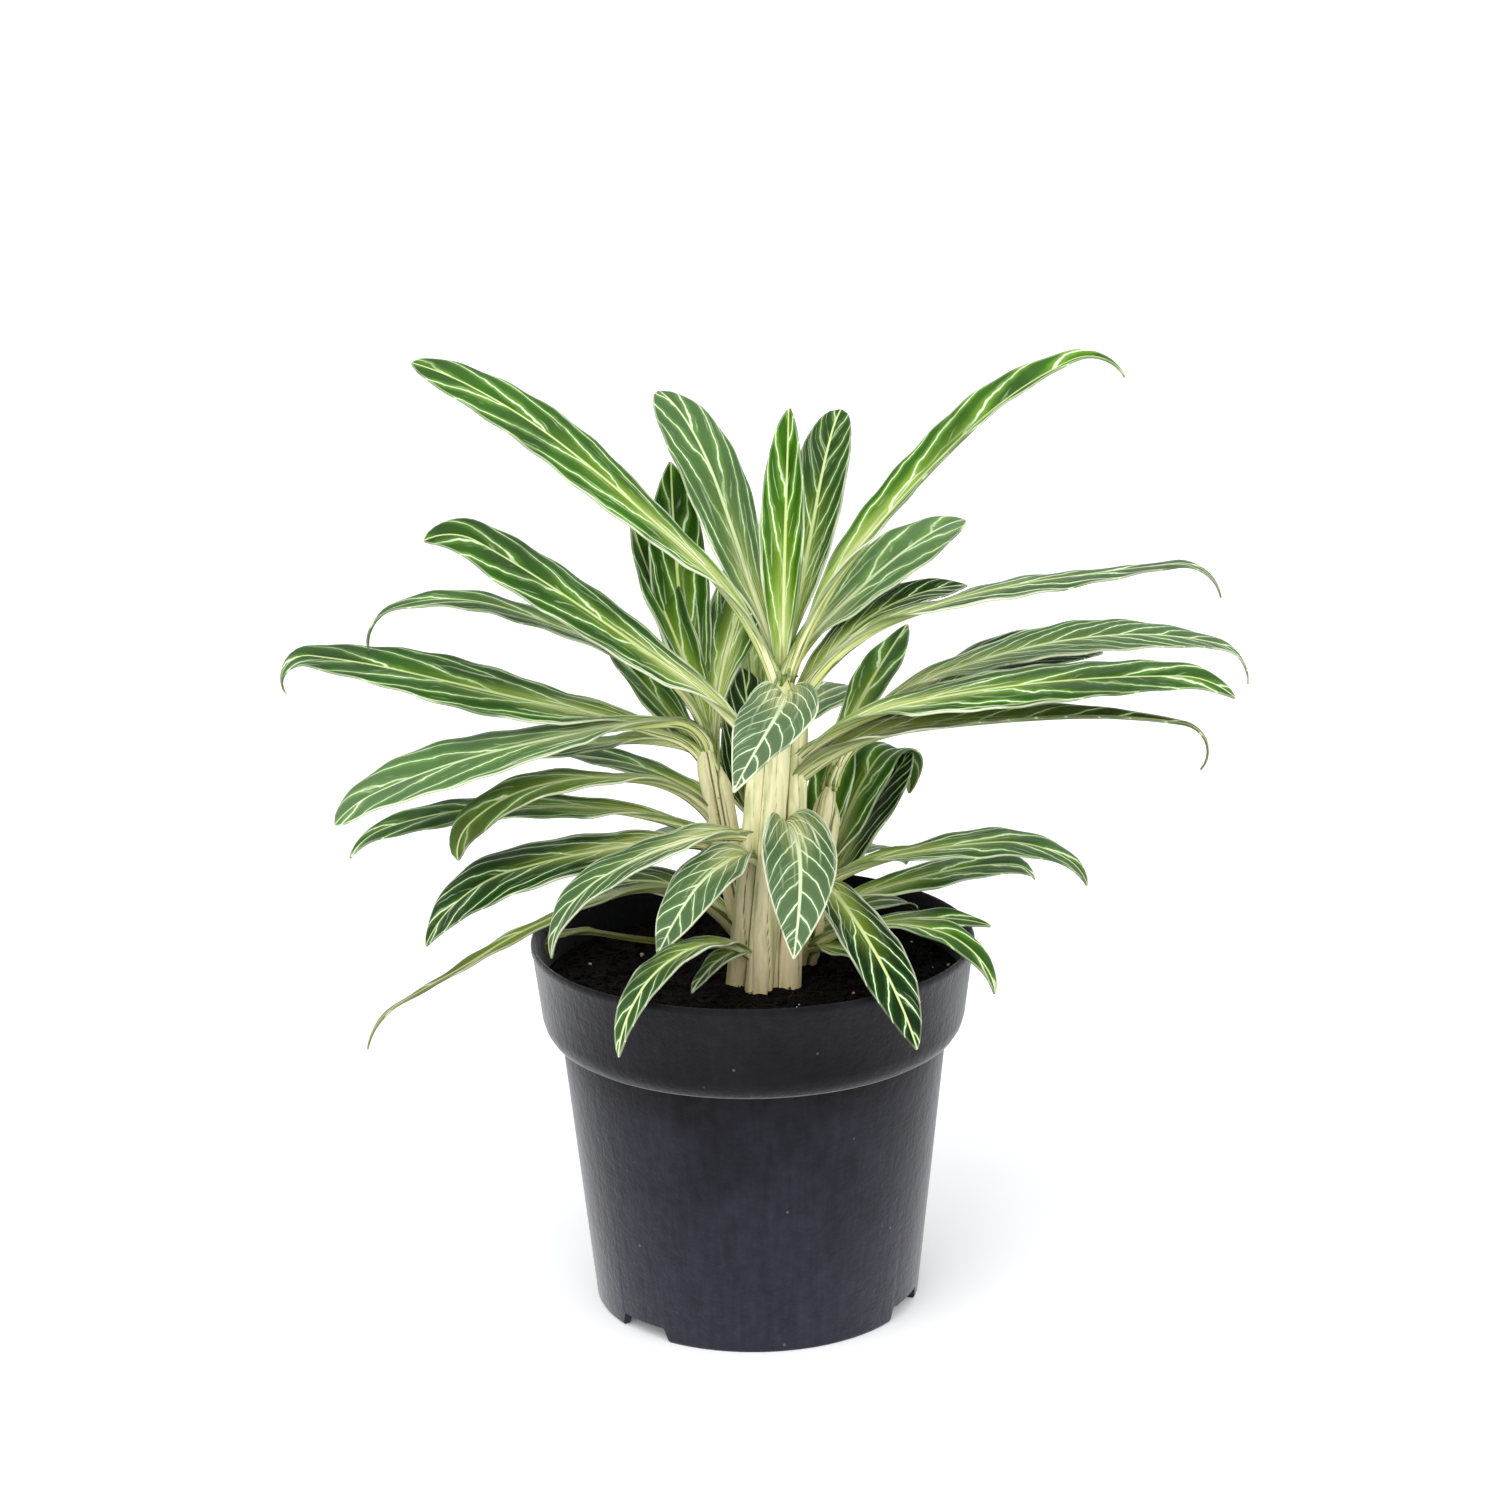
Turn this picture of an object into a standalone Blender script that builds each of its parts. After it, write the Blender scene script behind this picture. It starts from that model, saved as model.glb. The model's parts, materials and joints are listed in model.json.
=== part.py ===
"""A chinese evergreen in a nursery pot: pot, soil, four stems and fifty-two leaves.

Metres, +Z up. The origin is the middle of the pot's base, on the floor.
The seen side faces -Y.
"""
from math import cos, pi, radians, sin, tau

import bmesh
import bpy
import numpy as np

# Sizes are written in millimetres and turned to metres where a mesh is made.
MM = 0.001
GAP = 0.3

# Pot: the section runs from the middle of its floor up the inside, over the lip,
# down the outside and back to the middle underneath.
POT_STEPS = 44
SOIL_STEPS = 32
POT_INSIDE = ((0, 5.8), (52.6, 5.8), (54.4, 7.6), (63.8, 92.6), (65.0, 94.9), (68.3, 97.5),
              (70.2, 101.9), (73.2, 125.0), (73.7, 127.6))
POT_OUTSIDE = ((74.3, 128.0), (74.8, 127.8), (75.0, 127.2), (75.0, 125.8), (74.5, 125.2),
               (71.7, 102.2), (70.7, 98.8), (68.9, 96.0), (66.4, 94.5), (65.4, 94.2),
               (65.3, 93.6), (55.6, 1.0), (55.0, 0.0))
POT_UNDERSIDE = ((52.9, 0.0), (52.5, 4.0), (15.3, 4.0), (14.8, 0.0), (0, 0.0))
NOTCH_TURNS = (-134.0, -25.4, 46.0, 154.6)
NOTCH_HEIGHT = 5.0
NOTCH_WIDE = 25.0
NOTCH_NARROW = 20.0
NOTCH_REACH = (48.5, 60.0)
DRAIN_HOLE_RADIUS = 4.0
DRAIN_HOLE_OUT = 43.5

# Soil: fills the pot to this height, a little lower where it meets the wall.
SOIL_TOP = 114.0
SOIL_EDGE = 113.2

# Stems: foot (x, y) at the soil, top (x, y, z), core radius low and high, how far the
# ribs stand from the axis low and high, rib radius low and high, and rib turns.
SHOOTS = {
    "centre": {"foot": (4, -7), "top": (11.7, 4, 222), "core": (8.6, 5.4), "ring": (8.6, 5.0),
               "rib": (4.7, 3.8), "turns": (255, 330, 45, 115, 185)},
    "left": {"foot": (-1, 16.5), "top": (-15, 16, 195), "core": (2.8, 3.6), "ring": (2.4, 3.4),
             "rib": (2.3, 2.7), "turns": (200, 320, 80)},
    "right": {"foot": (17, 12), "top": (28, 14, 182), "core": (3.2, 2.8), "ring": (2.8, 2.8),
              "rib": (2.8, 2.5), "turns": (240, 0, 120)},
    "back": {"foot": (4, 30), "top": (2, 33, 188), "core": (3.4, 2.8), "ring": (3.0, 3.0),
             "rib": (2.9, 2.6), "turns": (90, 210, 330)},
}
STEM_DEPTH = 12.0
RIB_TWIST = 18.0
RIB_STAGGER = (0.0, 9.0, 4.0, 13.0, 6.0)

# Leaves: a midrib whose lean is given at six shares of its length.
LEAN_SHARES = (0, 0.12, 0.35, 0.65, 0.88, 1.0)
FOOT_OUT = 2.0
STALK_FOOT = 4.4
STALK_NECK = 2.6
STALK_FOLD = 60.0
TIP_HALF_WIDTH = 0.35
ACROSS = (-1.0, -0.5, 0.0, 0.5, 1.0)
STALK_THICK = 2.4
MIDRIB_THICK = 1.5
EDGE_THICK = 0.7
BLADE_CURL = 7.0
WAVE_HEIGHT = 0.7
WAVE_COUNT = 1.6
PHASE_STEP = 1.7
STATIONS = 3
STATION_RUN = 27.0
BEND_PULL = 0.005


def leaf(shoot, height, turn, length, leans, width, neck=0.13, fold=5, roll=(0, 0), tip=0.85,
         rise=1.3, slim=1.0, veer=0):
    """One leaf's own values: where it starts, which way it goes, how it bends, its blade."""
    return {"shoot": shoot, "height": height, "turn": turn, "length": length, "leans": leans,
            "width": width, "neck": neck, "fold": fold, "roll": roll, "tip": tip,
            "rise": rise, "slim": slim, "veer": veer}


LEAVES = {
    "leaf_crown_1": leaf("centre", 208, 186, 171, (82, 66, 45, 41, 30, 18), 26, 0.13, 0, (26, 26), 0.6),
    "leaf_crown_2": leaf("centre", 215, 127, 113, (70, 60, 63, 57, 36, 16), 24, 0.11, 0, (0, 0), 0.65),
    "leaf_crown_3": leaf("centre", 205, 68, 101, (88, 86, 85, 84, 84, 84), 15, 0.11, 28, (0, 0), 0.8),
    "leaf_crown_4": leaf("centre", 216, 67, 98, (70, 60, 58, 62, 50, 26), 17, 0.10, 6, (0, 0), 0.6),
    "leaf_crown_5": leaf("centre", 211, 2, 168, (76, 66, 50, 43, 25, -60),
                         20, 0.15, 26, (-18, -18), 1.4),
    "leaf_crown_6": leaf("centre", 213, 38, 94, (68, 46, 32, 26, 15, 0), 22, 0.11, 6, (-10, -10), 0.7),
    "leaf_crown_7": leaf("centre", 196, 352, 171, (68, 56, 22, 9, 8, -80), 21, 0.22, -3, (0, 0), 1.2),
    "leaf_crown_8": leaf("centre", 200, 25, 85, (68, 53, 44, 19, 4, -4), 17, 0.13, 6, (-10, -10)),
    "leaf_right_1": leaf("right", 176, 12, 109, (80, 48, 25, 17, 0, -18), 25, 0.14, 8, (-14, -14), 0.7),
    "leaf_right_2": leaf("right", 183, 6, 163, (72, 38, 17, 2, -15, -90), 20, 0.14, 3, (-13, -10), 1.1),
    "leaf_right_3": leaf("centre", 179, 345, 165, (64, 39, 15, 8, 3, -40), 27, 0.13, 0, (-12, -12)),
    "leaf_right_4": leaf("centre", 170, 350, 166, (70, 40, 9, 4, -7, -130),
                         17, 0.06, 26, (-12, -12), 2.2, 0.9),
    "leaf_right_5": leaf("right", 174, 60, 74, (77, 58, 40, 29, 27, 26), 12, 0.13, 4, (0, 0)),
    "leaf_right_6": leaf("right", 135, 350, 104, (68, 30, 14, 6, -28, -74), 21, 0.14, 2, (-5, -5)),
    "leaf_right_7": leaf("right", 124, 12, 86, (60, 28, 13, 7, -6, -66), 16, 0.13, 2, (-11, -11), 0.7),
    "leaf_right_8": leaf("right", 116, 352, 66, (52, 32, 16, 3, -6, -18), 12, 0.15, 3, (-4, -4)),
    "leaf_right_9": leaf("right", 116, 326, 87, (54, 34, 15, -4, -47, -84), 12, 0.15, 6, (0, 0)),
    "leaf_right_10": leaf("right", 118, 25, 48, (58, 38, 26, 0, -29, -58), 13, 0.13, 6, (0, 0)),
    "leaf_right_11": leaf("right", 117, 312, 40, (42, 22, 10, -4, -18, -30), 11, 0.13, 8, (0, 0)),
    "leaf_right_12": leaf("right", 129, 34, 67, (58, 54, 55, 51, 44, 34), 23, 0.12, 8, (0, 0)),
    "leaf_right_13": leaf("right", 138, 62, 60, (80, 74, 66, 62, 56, 50), 14, 0.12, 12, (0, 0)),
    "leaf_right_14": leaf("right", 134, 43, 84, (64, 58, 62, 40, -78, -100),
                          19, 0.10, 10, (0, 0), 0.85, 0.8),
    "leaf_front_1": leaf("centre", 206, 280, 74, (56, 24, -2, -20, -38, -48),
                         23, 0.20, 4, (0, 0), 1.0, 0.65, 0.8, -50),
    "leaf_front_2": leaf("centre", 160, 296, 74, (72, 40, -16, -44, -56, -62),
                         22, 0.20, 4, (0, 0), 1.0, 0.65, 0.8, -44),
    "leaf_front_3": leaf("centre", 148, 224, 65, (84, 42, -8, -40, -50, -54),
                         20, 0.20, 5, (5, 5), 1.0, 0.75, 0.8),
    "leaf_front_4": leaf("centre", 158, 198, 94, (56, 10, -10, -26, -62, -90),
                         16, 0.14, 8, (8, 8), 0.9, 0.9),
    "leaf_front_5": leaf("right", 127, 284, 113, (84, 44, -7, -23, -40, -54),
                         17, 0.12, 4, (0, 0), 0.85, 1.3, 1.0, 12),
    "leaf_front_6": leaf("centre", 119, 232, 43, (64, 40, 14, -14, -30, -40),
                         7, 0.20, 10, (0, 0), 0.9, 1.0, 0.5),
    "leaf_left_1": leaf("left", 146, 190, 118, (74, 10, -5, -12, -46, -66), 26, 0.13, 2, (15, 15)),
    "leaf_left_2": leaf("left", 188, 193, 136, (84, 3, -6, -12, -22, -50), 28, 0.13, 2, (12, 12), 0.6),
    "leaf_left_3": leaf("left", 178, 180, 164, (80, 20, 14, 15, 8, -120), 28, 0.13, 2, (19, 12), 1.0),
    "leaf_left_4": leaf("centre", 180, 186, 149, (76, 54, 38, 37, 32, -26), 27, 0.14, 0, (25, 25), 0.7),
    "leaf_left_5": leaf("left", 172, 176, 162, (86, 80, 25, 18, -18, -100), 19, 0.18, 4, (6, 0), 1.1),
    "leaf_left_6": leaf("left", 180, 172, 107, (84, 14, -8, -2, -10, -24), 17, 0.13, 2, (6, 6)),
    "leaf_left_7": leaf("left", 155, 196, 115, (76, 50, 12, -8, -40, -100),
                        15, 0.22, 3, (-14, 36), 0.7),
    "leaf_left_8": leaf("left", 146, 182, 141, (80, 26, 7, -3, -18, -58), 17, 0.18, 2, (11, 11)),
    "leaf_left_9": leaf("left", 154, 158, 73, (84, 66, 24, 8, 0, -4), 15, 0.14, 6, (0, 0)),
    "leaf_left_10": leaf("left", 118, 204, 158, (60, 44, -7, -24, -21, -80),
                         5, 0.18, 2, (0, 0), 1.0, 1.0, 0.6),
    "leaf_left_11": leaf("left", 118, 160, 73, (78, 50, 20, -7, -27, -44), 15, 0.13, 4, (12, 12)),
    "leaf_left_12": leaf("centre", 117, 236, 100, (52, 38, 14, -12, -50, -84),
                         12, 0.13, 10, (0, 0), 0.9, 1.0, 0.7),
    "leaf_left_13": leaf("left", 117, 190, 74, (40, 2, 8, 16, -10, -110),
                         5, 0.70, 12, (0, 0), 0.9, 1.0, 0.3),
    "leaf_left_14": leaf("left", 172, 150, 66, (85, 65, 47, 42, 44, 46), 17, 0.14, 8, (0, 0)),
    "leaf_upright_1": leaf("left", 182, 118, 105, (76, 68, 66, 82, 87, 87), 20, 0.13, 8, (0, 0)),
    "leaf_upright_2": leaf("left", 178, 140, 93, (84, 82, 65, 61, 66, 77), 16, 0.13, 20, (0, 0)),
    "leaf_upright_3": leaf("left", 181, 75, 114, (86, 74, 38, 22, 17, 15), 20, 0.14, 8, (0, 0)),
    "leaf_upright_4": leaf("back", 150, 128, 62, (86, 86, 86, 84, 80, 74),
                           25, 0.08, 4, (0, 0), 0.8, 0.9),
    "leaf_back_1": leaf("back", 178, 92, 112, (80, 56, 28, 12, -12, -34), 25),
    "leaf_back_2": leaf("back", 166, 64, 108, (78, 40, 12, -4, -26, -50), 24),
    "leaf_back_3": leaf("back", 164, 112, 108, (80, 48, 14, -6, -28, -50), 24),
    "leaf_back_4": leaf("back", 138, 80, 96, (72, 22, 2, -14, -30, -46), 22),
    "leaf_back_5": leaf("back", 134, 128, 88, (70, 22, 0, -14, -30, -44), 20),
    "leaf_back_6": leaf("back", 128, 48, 84, (70, 24, 2, -12, -30, -46), 20),
}

MATERIALS = {
    "pot": ("moulded_black_plastic", (0.045, 0.047, 0.055, 1), 0.5),
    "soil": ("peat_soil", (0.016, 0.011, 0.008, 1), 0.95),
    "stem": ("sheathed_stalk", (0.62, 0.58, 0.38, 1), 0.5),
    "leaf": ("variegated_leaf", (0.10, 0.22, 0.06, 1), 0.42),
}


def clear_scene():
    """Empties the scene, with what its objects were made of."""
    for obj in list(bpy.data.objects):
        bpy.data.objects.remove(obj, do_unlink=True)
    for store in (bpy.data.meshes, bpy.data.curves, bpy.data.materials):
        for block in list(store):
            store.remove(block)
    for group in list(bpy.data.collections):
        bpy.data.collections.remove(group)


def collection(name, hidden=False):
    """A collection of that name in the scene."""
    group = bpy.data.collections.new(name)
    bpy.context.scene.collection.children.link(group)
    group.hide_render = hidden
    return group


def material(kind):
    """A new plain material of a kind in MATERIALS."""
    name, colour, roughness = MATERIALS[kind]
    made = bpy.data.materials.new(name)
    made.use_nodes = True
    shader = made.node_tree.nodes["Principled BSDF"]
    shader.inputs["Base Color"].default_value = colour
    shader.inputs["Roughness"].default_value = roughness
    made.diffuse_color = colour
    return made


def mesh_object(name, points, edges, faces, group):
    """An object in metres from points in millimetres."""
    mesh = bpy.data.meshes.new(name)
    mesh.from_pydata([tuple(float(c) * MM for c in p) for p in points], edges, faces)
    mesh.update()
    obj = bpy.data.objects.new(name, mesh)
    group.objects.link(obj)
    return obj


def settle(obj):
    """Swaps an object's mesh for what its modifiers make of it."""
    depsgraph = bpy.context.evaluated_depsgraph_get()
    made = bpy.data.meshes.new_from_object(obj.evaluated_get(depsgraph))
    old = obj.data
    obj.modifiers.clear()
    obj.data = made
    if old.users == 0:
        bpy.data.meshes.remove(old)
    return obj


def biggest_shell(obj):
    """Keeps only the widest part of a mesh that hangs together through its faces."""
    bm = bmesh.new()
    bm.from_mesh(obj.data)
    bmesh.ops.remove_doubles(bm, verts=bm.verts, dist=1e-7)
    left = set(bm.faces)
    shells = []
    while left:
        seed = left.pop()
        shell = [seed]
        front = [seed]
        while front:
            for edge in front.pop().edges:
                if len(edge.link_faces) != 2:
                    continue
                for face in edge.link_faces:
                    if face in left:
                        left.discard(face)
                        shell.append(face)
                        front.append(face)
        shells.append(shell)

    def width(shell):
        places = np.array([v.co for face in shell for v in face.verts])
        return float(np.ptp(places, axis=0).sum())

    keep = set(max(shells, key=width))
    loose = [face for face in bm.faces if face not in keep]
    bmesh.ops.delete(bm, geom=loose, context="FACES")
    bm.to_mesh(obj.data)
    bm.free()


def plain_triangles(obj):
    """Splits all faces into triangles, none of which share a cut across two faces."""
    mesh = obj.data
    mesh.calc_loop_triangles()
    edges = {frozenset(edge.vertices) for edge in mesh.edges}
    owners = {}
    for tri in mesh.loop_triangles:
        own = {frozenset(key) for key in mesh.polygons[tri.polygon_index].edge_keys}
        a, b, c = tri.vertices
        for pair in (frozenset((a, b)), frozenset((b, c)), frozenset((c, a))):
            if pair not in own:
                owners.setdefault(pair, set()).add(tri.polygon_index)
    clashing = set()
    for pair, polygons in owners.items():
        if len(polygons) > 1 or pair in edges:
            clashing |= polygons
    bm = bmesh.new()
    bm.from_mesh(mesh)
    bm.faces.ensure_lookup_table()
    bmesh.ops.poke(bm, faces=[bm.faces[i] for i in sorted(clashing)])
    bmesh.ops.triangulate(bm, faces=bm.faces)
    bm.to_mesh(mesh)
    bm.free()


def boolean(obj, others, operation, keep=False):
    """Joins or cuts an object with others, which are gone afterwards unless kept."""
    held = bpy.data.collections.new("operands")
    for other in others:
        held.objects.link(other)
    change = obj.modifiers.new(operation.lower(), "BOOLEAN")
    change.operation = operation
    change.operand_type = "COLLECTION"
    change.collection = held
    change.solver = "EXACT"
    bpy.context.view_layer.update()
    settle(obj)
    bpy.data.collections.remove(held)
    if not keep:
        remove(others)
    return obj


def remove(objects):
    """Takes objects out of the file."""
    for obj in objects:
        bpy.data.objects.remove(obj, do_unlink=True)


def lathe(name, section, steps, group):
    """Turns a section of (radius, height) points round the Z axis."""
    points = [(r, 0, z) for r, z in section]
    edges = [(i, i + 1) for i in range(len(points) - 1)]
    obj = mesh_object(name, points, edges, [], group)
    turn = obj.modifiers.new("turn", "SCREW")
    turn.steps = steps
    turn.render_steps = steps
    turn.use_merge_vertices = True
    turn.merge_threshold = 0.0001
    turn.use_smooth_shade = True
    return settle(obj)


def outward(obj):
    """Makes all the face normals of a closed mesh point out."""
    bm = bmesh.new()
    bm.from_mesh(obj.data)
    bmesh.ops.remove_doubles(bm, verts=bm.verts, dist=1e-6)
    bmesh.ops.recalc_face_normals(bm, faces=bm.faces)
    bm.to_mesh(obj.data)
    bm.free()
    return obj


def inset(section, gap):
    """Moves a section towards the axis and upwards by a gap, square to its own run."""
    pts = np.array(section, float)
    run = np.gradient(pts, axis=0)
    run /= np.linalg.norm(run, axis=1)[:, None]
    square = np.stack([-run[:, 1], run[:, 0]], 1)
    out = pts + square * gap
    out[0] = (0, pts[0, 1] + gap)
    return [tuple(p) for p in out]


def notch_cutter(turn, group):
    """A wedge, wider at the floor, that cuts one drainage notch in the foot."""
    inner, outer = NOTCH_REACH
    points = []
    for radius in (inner, outer):
        for half, z in ((NOTCH_WIDE / 2, -1.0), (NOTCH_NARROW / 2, NOTCH_HEIGHT)):
            for side in (-1, 1):
                points.append((radius, side * half * radius / outer, z))
    faces = [(0, 1, 3, 2), (4, 6, 7, 5), (0, 2, 6, 4), (1, 5, 7, 3), (2, 3, 7, 6), (0, 4, 5, 1)]
    c, s = cos(radians(turn)), sin(radians(turn))
    points = [(x * c - y * s, x * s + y * c, z) for x, y, z in points]
    return outward(mesh_object("notch", points, [], faces, group))


def cylinder(name, x, y, radius, low, high, group):
    """A plain upright cylinder in millimetres."""
    bm = bmesh.new()
    bmesh.ops.create_cone(bm, cap_ends=True, segments=16, radius1=radius * MM, radius2=radius * MM,
                          depth=(high - low) * MM)
    bmesh.ops.translate(bm, verts=bm.verts, vec=(x * MM, y * MM, (low + high) / 2 * MM))
    mesh = bpy.data.meshes.new(name)
    bm.to_mesh(mesh)
    bm.free()
    obj = bpy.data.objects.new(name, mesh)
    group.objects.link(obj)
    return obj


def build_pot(group, cutters):
    """The pot with its notches and drain holes."""
    pot = lathe("pot", POT_INSIDE + POT_OUTSIDE + POT_UNDERSIDE, POT_STEPS, group)
    outward(pot)
    cuts = []
    for turn in NOTCH_TURNS:
        cuts.append(notch_cutter(turn, cutters))
        x = DRAIN_HOLE_OUT * cos(radians(turn))
        y = DRAIN_HOLE_OUT * sin(radians(turn))
        cuts.append(cylinder("drain", x, y, DRAIN_HOLE_RADIUS, 1.0, 9.0, cutters))
    return boolean(pot, cuts, "DIFFERENCE")


def axis_point(shoot, z):
    """The point of a shoot's axis at a height."""
    (x0, y0), (x1, y1, z1) = SHOOTS[shoot]["foot"], SHOOTS[shoot]["top"]
    share = (z - SOIL_TOP) / (z1 - SOIL_TOP)
    return np.array([x0 + (x1 - x0) * share, y0 + (y1 - y0) * share, z])


def tube(name, path, radii, group):
    """A closed round tube along a path, with a radius at each point."""
    curve = bpy.data.curves.new(name, "CURVE")
    curve.dimensions = "3D"
    curve.bevel_depth = MM
    curve.bevel_resolution = 2
    curve.use_fill_caps = True
    line = curve.splines.new("POLY")
    line.points.add(len(path) - 1)
    for point, place, radius in zip(line.points, path, radii):
        point.co = tuple(float(c) * MM for c in place) + (1,)
        point.radius = radius
    obj = bpy.data.objects.new(name, curve)
    group.objects.link(obj)
    depsgraph = bpy.context.evaluated_depsgraph_get()
    mesh = bpy.data.meshes.new_from_object(obj.evaluated_get(depsgraph))
    bpy.data.objects.remove(obj, do_unlink=True)
    bpy.data.curves.remove(curve)
    made = bpy.data.objects.new(name, mesh)
    group.objects.link(made)
    return outward(made)


def stem(name, shoot, group, grow=0.0, low=SOIL_TOP - STEM_DEPTH, high=None):
    """A shoot's core and ribs joined to one body; grow makes it fatter for a cutter."""
    own = SHOOTS[shoot]
    top = own["top"][2] if high is None else high
    span = own["top"][2] - SOIL_TOP

    def path(turn, end):
        heights = [low - grow, *np.linspace(SOIL_TOP, end + grow, 4)]
        places = []
        radii = []
        for z in heights:
            share = min(max((z - SOIL_TOP) / span, 0), 1)
            ring = own["ring"][0] + (own["ring"][1] - own["ring"][0]) * share
            thick = own["rib"][0] + (own["rib"][1] - own["rib"][0]) * share
            place = axis_point(shoot, z)
            if turn is None:
                thick = own["core"][0] + (own["core"][1] - own["core"][0]) * share
            else:
                angle = radians(turn + RIB_TWIST * share)
                place = place + ring * np.array([cos(angle), sin(angle), 0])
            places.append(place)
            radii.append(thick + grow)
        return places, radii

    core = tube(name, *path(None, top), group)
    ribs = []
    for i, turn in enumerate(own["turns"]):
        ribs.append(tube("rib", *path(turn, top - RIB_STAGGER[i]), group))
    return boolean(core, ribs, "UNION")


def midrib(own, shares):
    """Points of a leaf's midrib, its lean and its turn there."""
    fine = np.linspace(0, 1, 241)
    lean = np.radians(np.interp(fine, LEAN_SHARES, own["leans"]))
    turn = np.radians(own["turn"] + own["veer"] * fine)
    way = np.stack([np.cos(lean) * np.cos(turn), np.cos(lean) * np.sin(turn), np.sin(lean)], 1)
    steps = (way[1:] + way[:-1]) / 2 * own["length"] / (len(fine) - 1)
    foot = axis_point(own["shoot"], own["height"])
    foot = foot + FOOT_OUT * np.array([cos(turn[0]), sin(turn[0]), 0])
    points = np.vstack([np.zeros(3), np.cumsum(steps, 0)]) + foot
    placed = np.stack([np.interp(shares, fine, points[:, i]) for i in range(3)], 1)
    return placed, np.interp(shares, fine, lean), np.interp(shares, fine, turn)


def lance(t, rise, tip):
    """A lance shape from 0 to 1 and back, with its own slenderness at the base and tip."""
    peak = rise / (rise + tip)
    high = peak ** rise * (1 - peak) ** tip
    return np.clip(t, 0, 1) ** rise * np.clip(1 - t, 0, 1) ** tip / high


def half_section(across, near, far):
    """Sideways run and rise of a half section whose slope goes from near to far."""
    change = far - near
    change = np.where(np.abs(change) < 1e-4, 1e-4, change)
    slope = near + change * across
    return (np.sin(slope) - np.sin(near)) / change, -(np.cos(slope) - np.cos(near)) / change


def leaf_surface(own, shares, across, phase, grow=0.0):
    """The leaf's upper face as stations by places across, and the thickness at each."""
    places, lean, turn = midrib(own, shares)
    neck = own["neck"]
    t = np.clip((shares - neck) / (1 - neck), 0, 1)
    slim = own["slim"]
    on_stalk = STALK_FOOT + (STALK_NECK - STALK_FOOT) * shares / neck
    on_blade = STALK_NECK * (1 - t) + TIP_HALF_WIDTH * t
    bloom = lance(t, own["rise"], own["tip"])
    half = np.where(shares < neck, on_stalk, on_blade) * slim + own["width"] / 2 * bloom + grow
    opening = np.clip(t / 0.25, 0, 1)
    slope = np.radians(STALK_FOLD * (1 - opening) + own["fold"] * opening)
    curl = radians(BLADE_CURL) * opening
    roll = np.radians(own["roll"][0] + (own["roll"][1] - own["roll"][0]) * t) * opening
    ahead = np.stack([np.cos(lean) * np.cos(turn), np.cos(lean) * np.sin(turn), np.sin(lean)], 1)
    side = np.stack([np.sin(turn), -np.cos(turn), np.zeros_like(t)], 1)
    up = np.cross(side, ahead)
    c, s = np.cos(roll)[:, None], np.sin(roll)[:, None]
    side, up = side * c + up * s, up * c - side * s
    grid = np.zeros((len(shares), len(across), 3))
    thick = np.zeros((len(shares), len(across)))
    stout = STALK_THICK * slim ** 0.5
    middle = stout + (MIDRIB_THICK - stout) * np.clip(shares / neck, 0, 1)
    middle = middle * (1 - t) + EDGE_THICK * t
    for j, v in enumerate(across):
        run, rise = half_section(abs(v), slope + curl, slope - curl)
        wave = WAVE_HEIGHT * np.sin(tau * WAVE_COUNT * t + phase + (1 + np.sign(v))) * v * v * bloom
        grid[:, j] = places + side * (np.sign(v) * half * run)[:, None]
        edge = EDGE_THICK + 0.5 * np.clip(1 - shares / neck, 0, 1)
        thick[:, j] = middle + (edge - middle) * min(1, abs(v) * 1.6) + 2 * grow
        grid[:, j] += up * (half * rise + wave + thick[:, j] / 2)[:, None]
    return grid, thick


def stations(own, on_stalk, on_blade):
    """Shares of a leaf's length to put sections at, closer together where it bends."""
    fine = np.linspace(own["neck"], 1, 200)
    bend = np.abs(np.gradient(np.interp(fine, LEAN_SHARES, own["leans"]), fine))
    pace = np.concatenate([[0], np.cumsum((1 + bend[1:] * BEND_PULL) * np.diff(fine))])
    blade = np.interp(np.linspace(0, pace[-1], on_blade), pace, fine)
    return np.concatenate([np.linspace(0, own["neck"], on_stalk, endpoint=False), blade])


def leaf_solid(name, own, phase, group, grow=0.0):
    """A leaf as a closed body; grow makes it fatter for a cutter."""
    shares = stations(own, 3, int(STATIONS + own["length"] / STATION_RUN))
    grid, thick = leaf_surface(own, shares, ACROSS, phase, grow)
    if grow:
        ahead = grid[0] - grid[1]
        grid[0] += ahead / np.linalg.norm(ahead, axis=1)[:, None] * grow
        ahead = grid[-1] - grid[-2]
        grid[-1] += ahead / np.linalg.norm(ahead, axis=1)[:, None] * grow
    rows, cols = grid.shape[:2]
    faces = []
    for i in range(rows - 1):
        for j in range(cols - 1):
            a, b = i * cols + j, i * cols + j + 1
            d, e = a + cols, b + cols
            faces += [(a, b, e), (a, e, d)] if j < cols // 2 else [(a, b, d), (b, e, d)]
    obj = mesh_object(name, grid.reshape(-1, 3), [], faces, group)
    most = float(thick.max())
    weights = obj.vertex_groups.new(name="thickness")
    for index, value in enumerate(thick.reshape(-1)):
        weights.add([index], float(value) / most, "REPLACE")
    body = obj.modifiers.new("body", "SOLIDIFY")
    body.thickness = most * MM
    body.offset = -1 if face_up(obj, grid) else 1
    body.vertex_group = "thickness"
    body.use_rim = True
    settle(obj)
    return outward(obj)


def face_up(obj, grid):
    """Whether the first face's normal points to the leaf's upper side."""
    middle = grid.shape[1] // 2
    trough = grid[0, middle]
    rims = (grid[0, 0] + grid[0, -1]) / 2
    normal = np.array(obj.data.polygons[0].normal)
    return float(np.dot(normal, rims - trough)) > 0


def box_of(obj):
    """The low and high corners of an object's mesh, in millimetres."""
    co = np.array([v.co for v in obj.data.vertices]) / MM
    return co.min(0), co.max(0)


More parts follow.
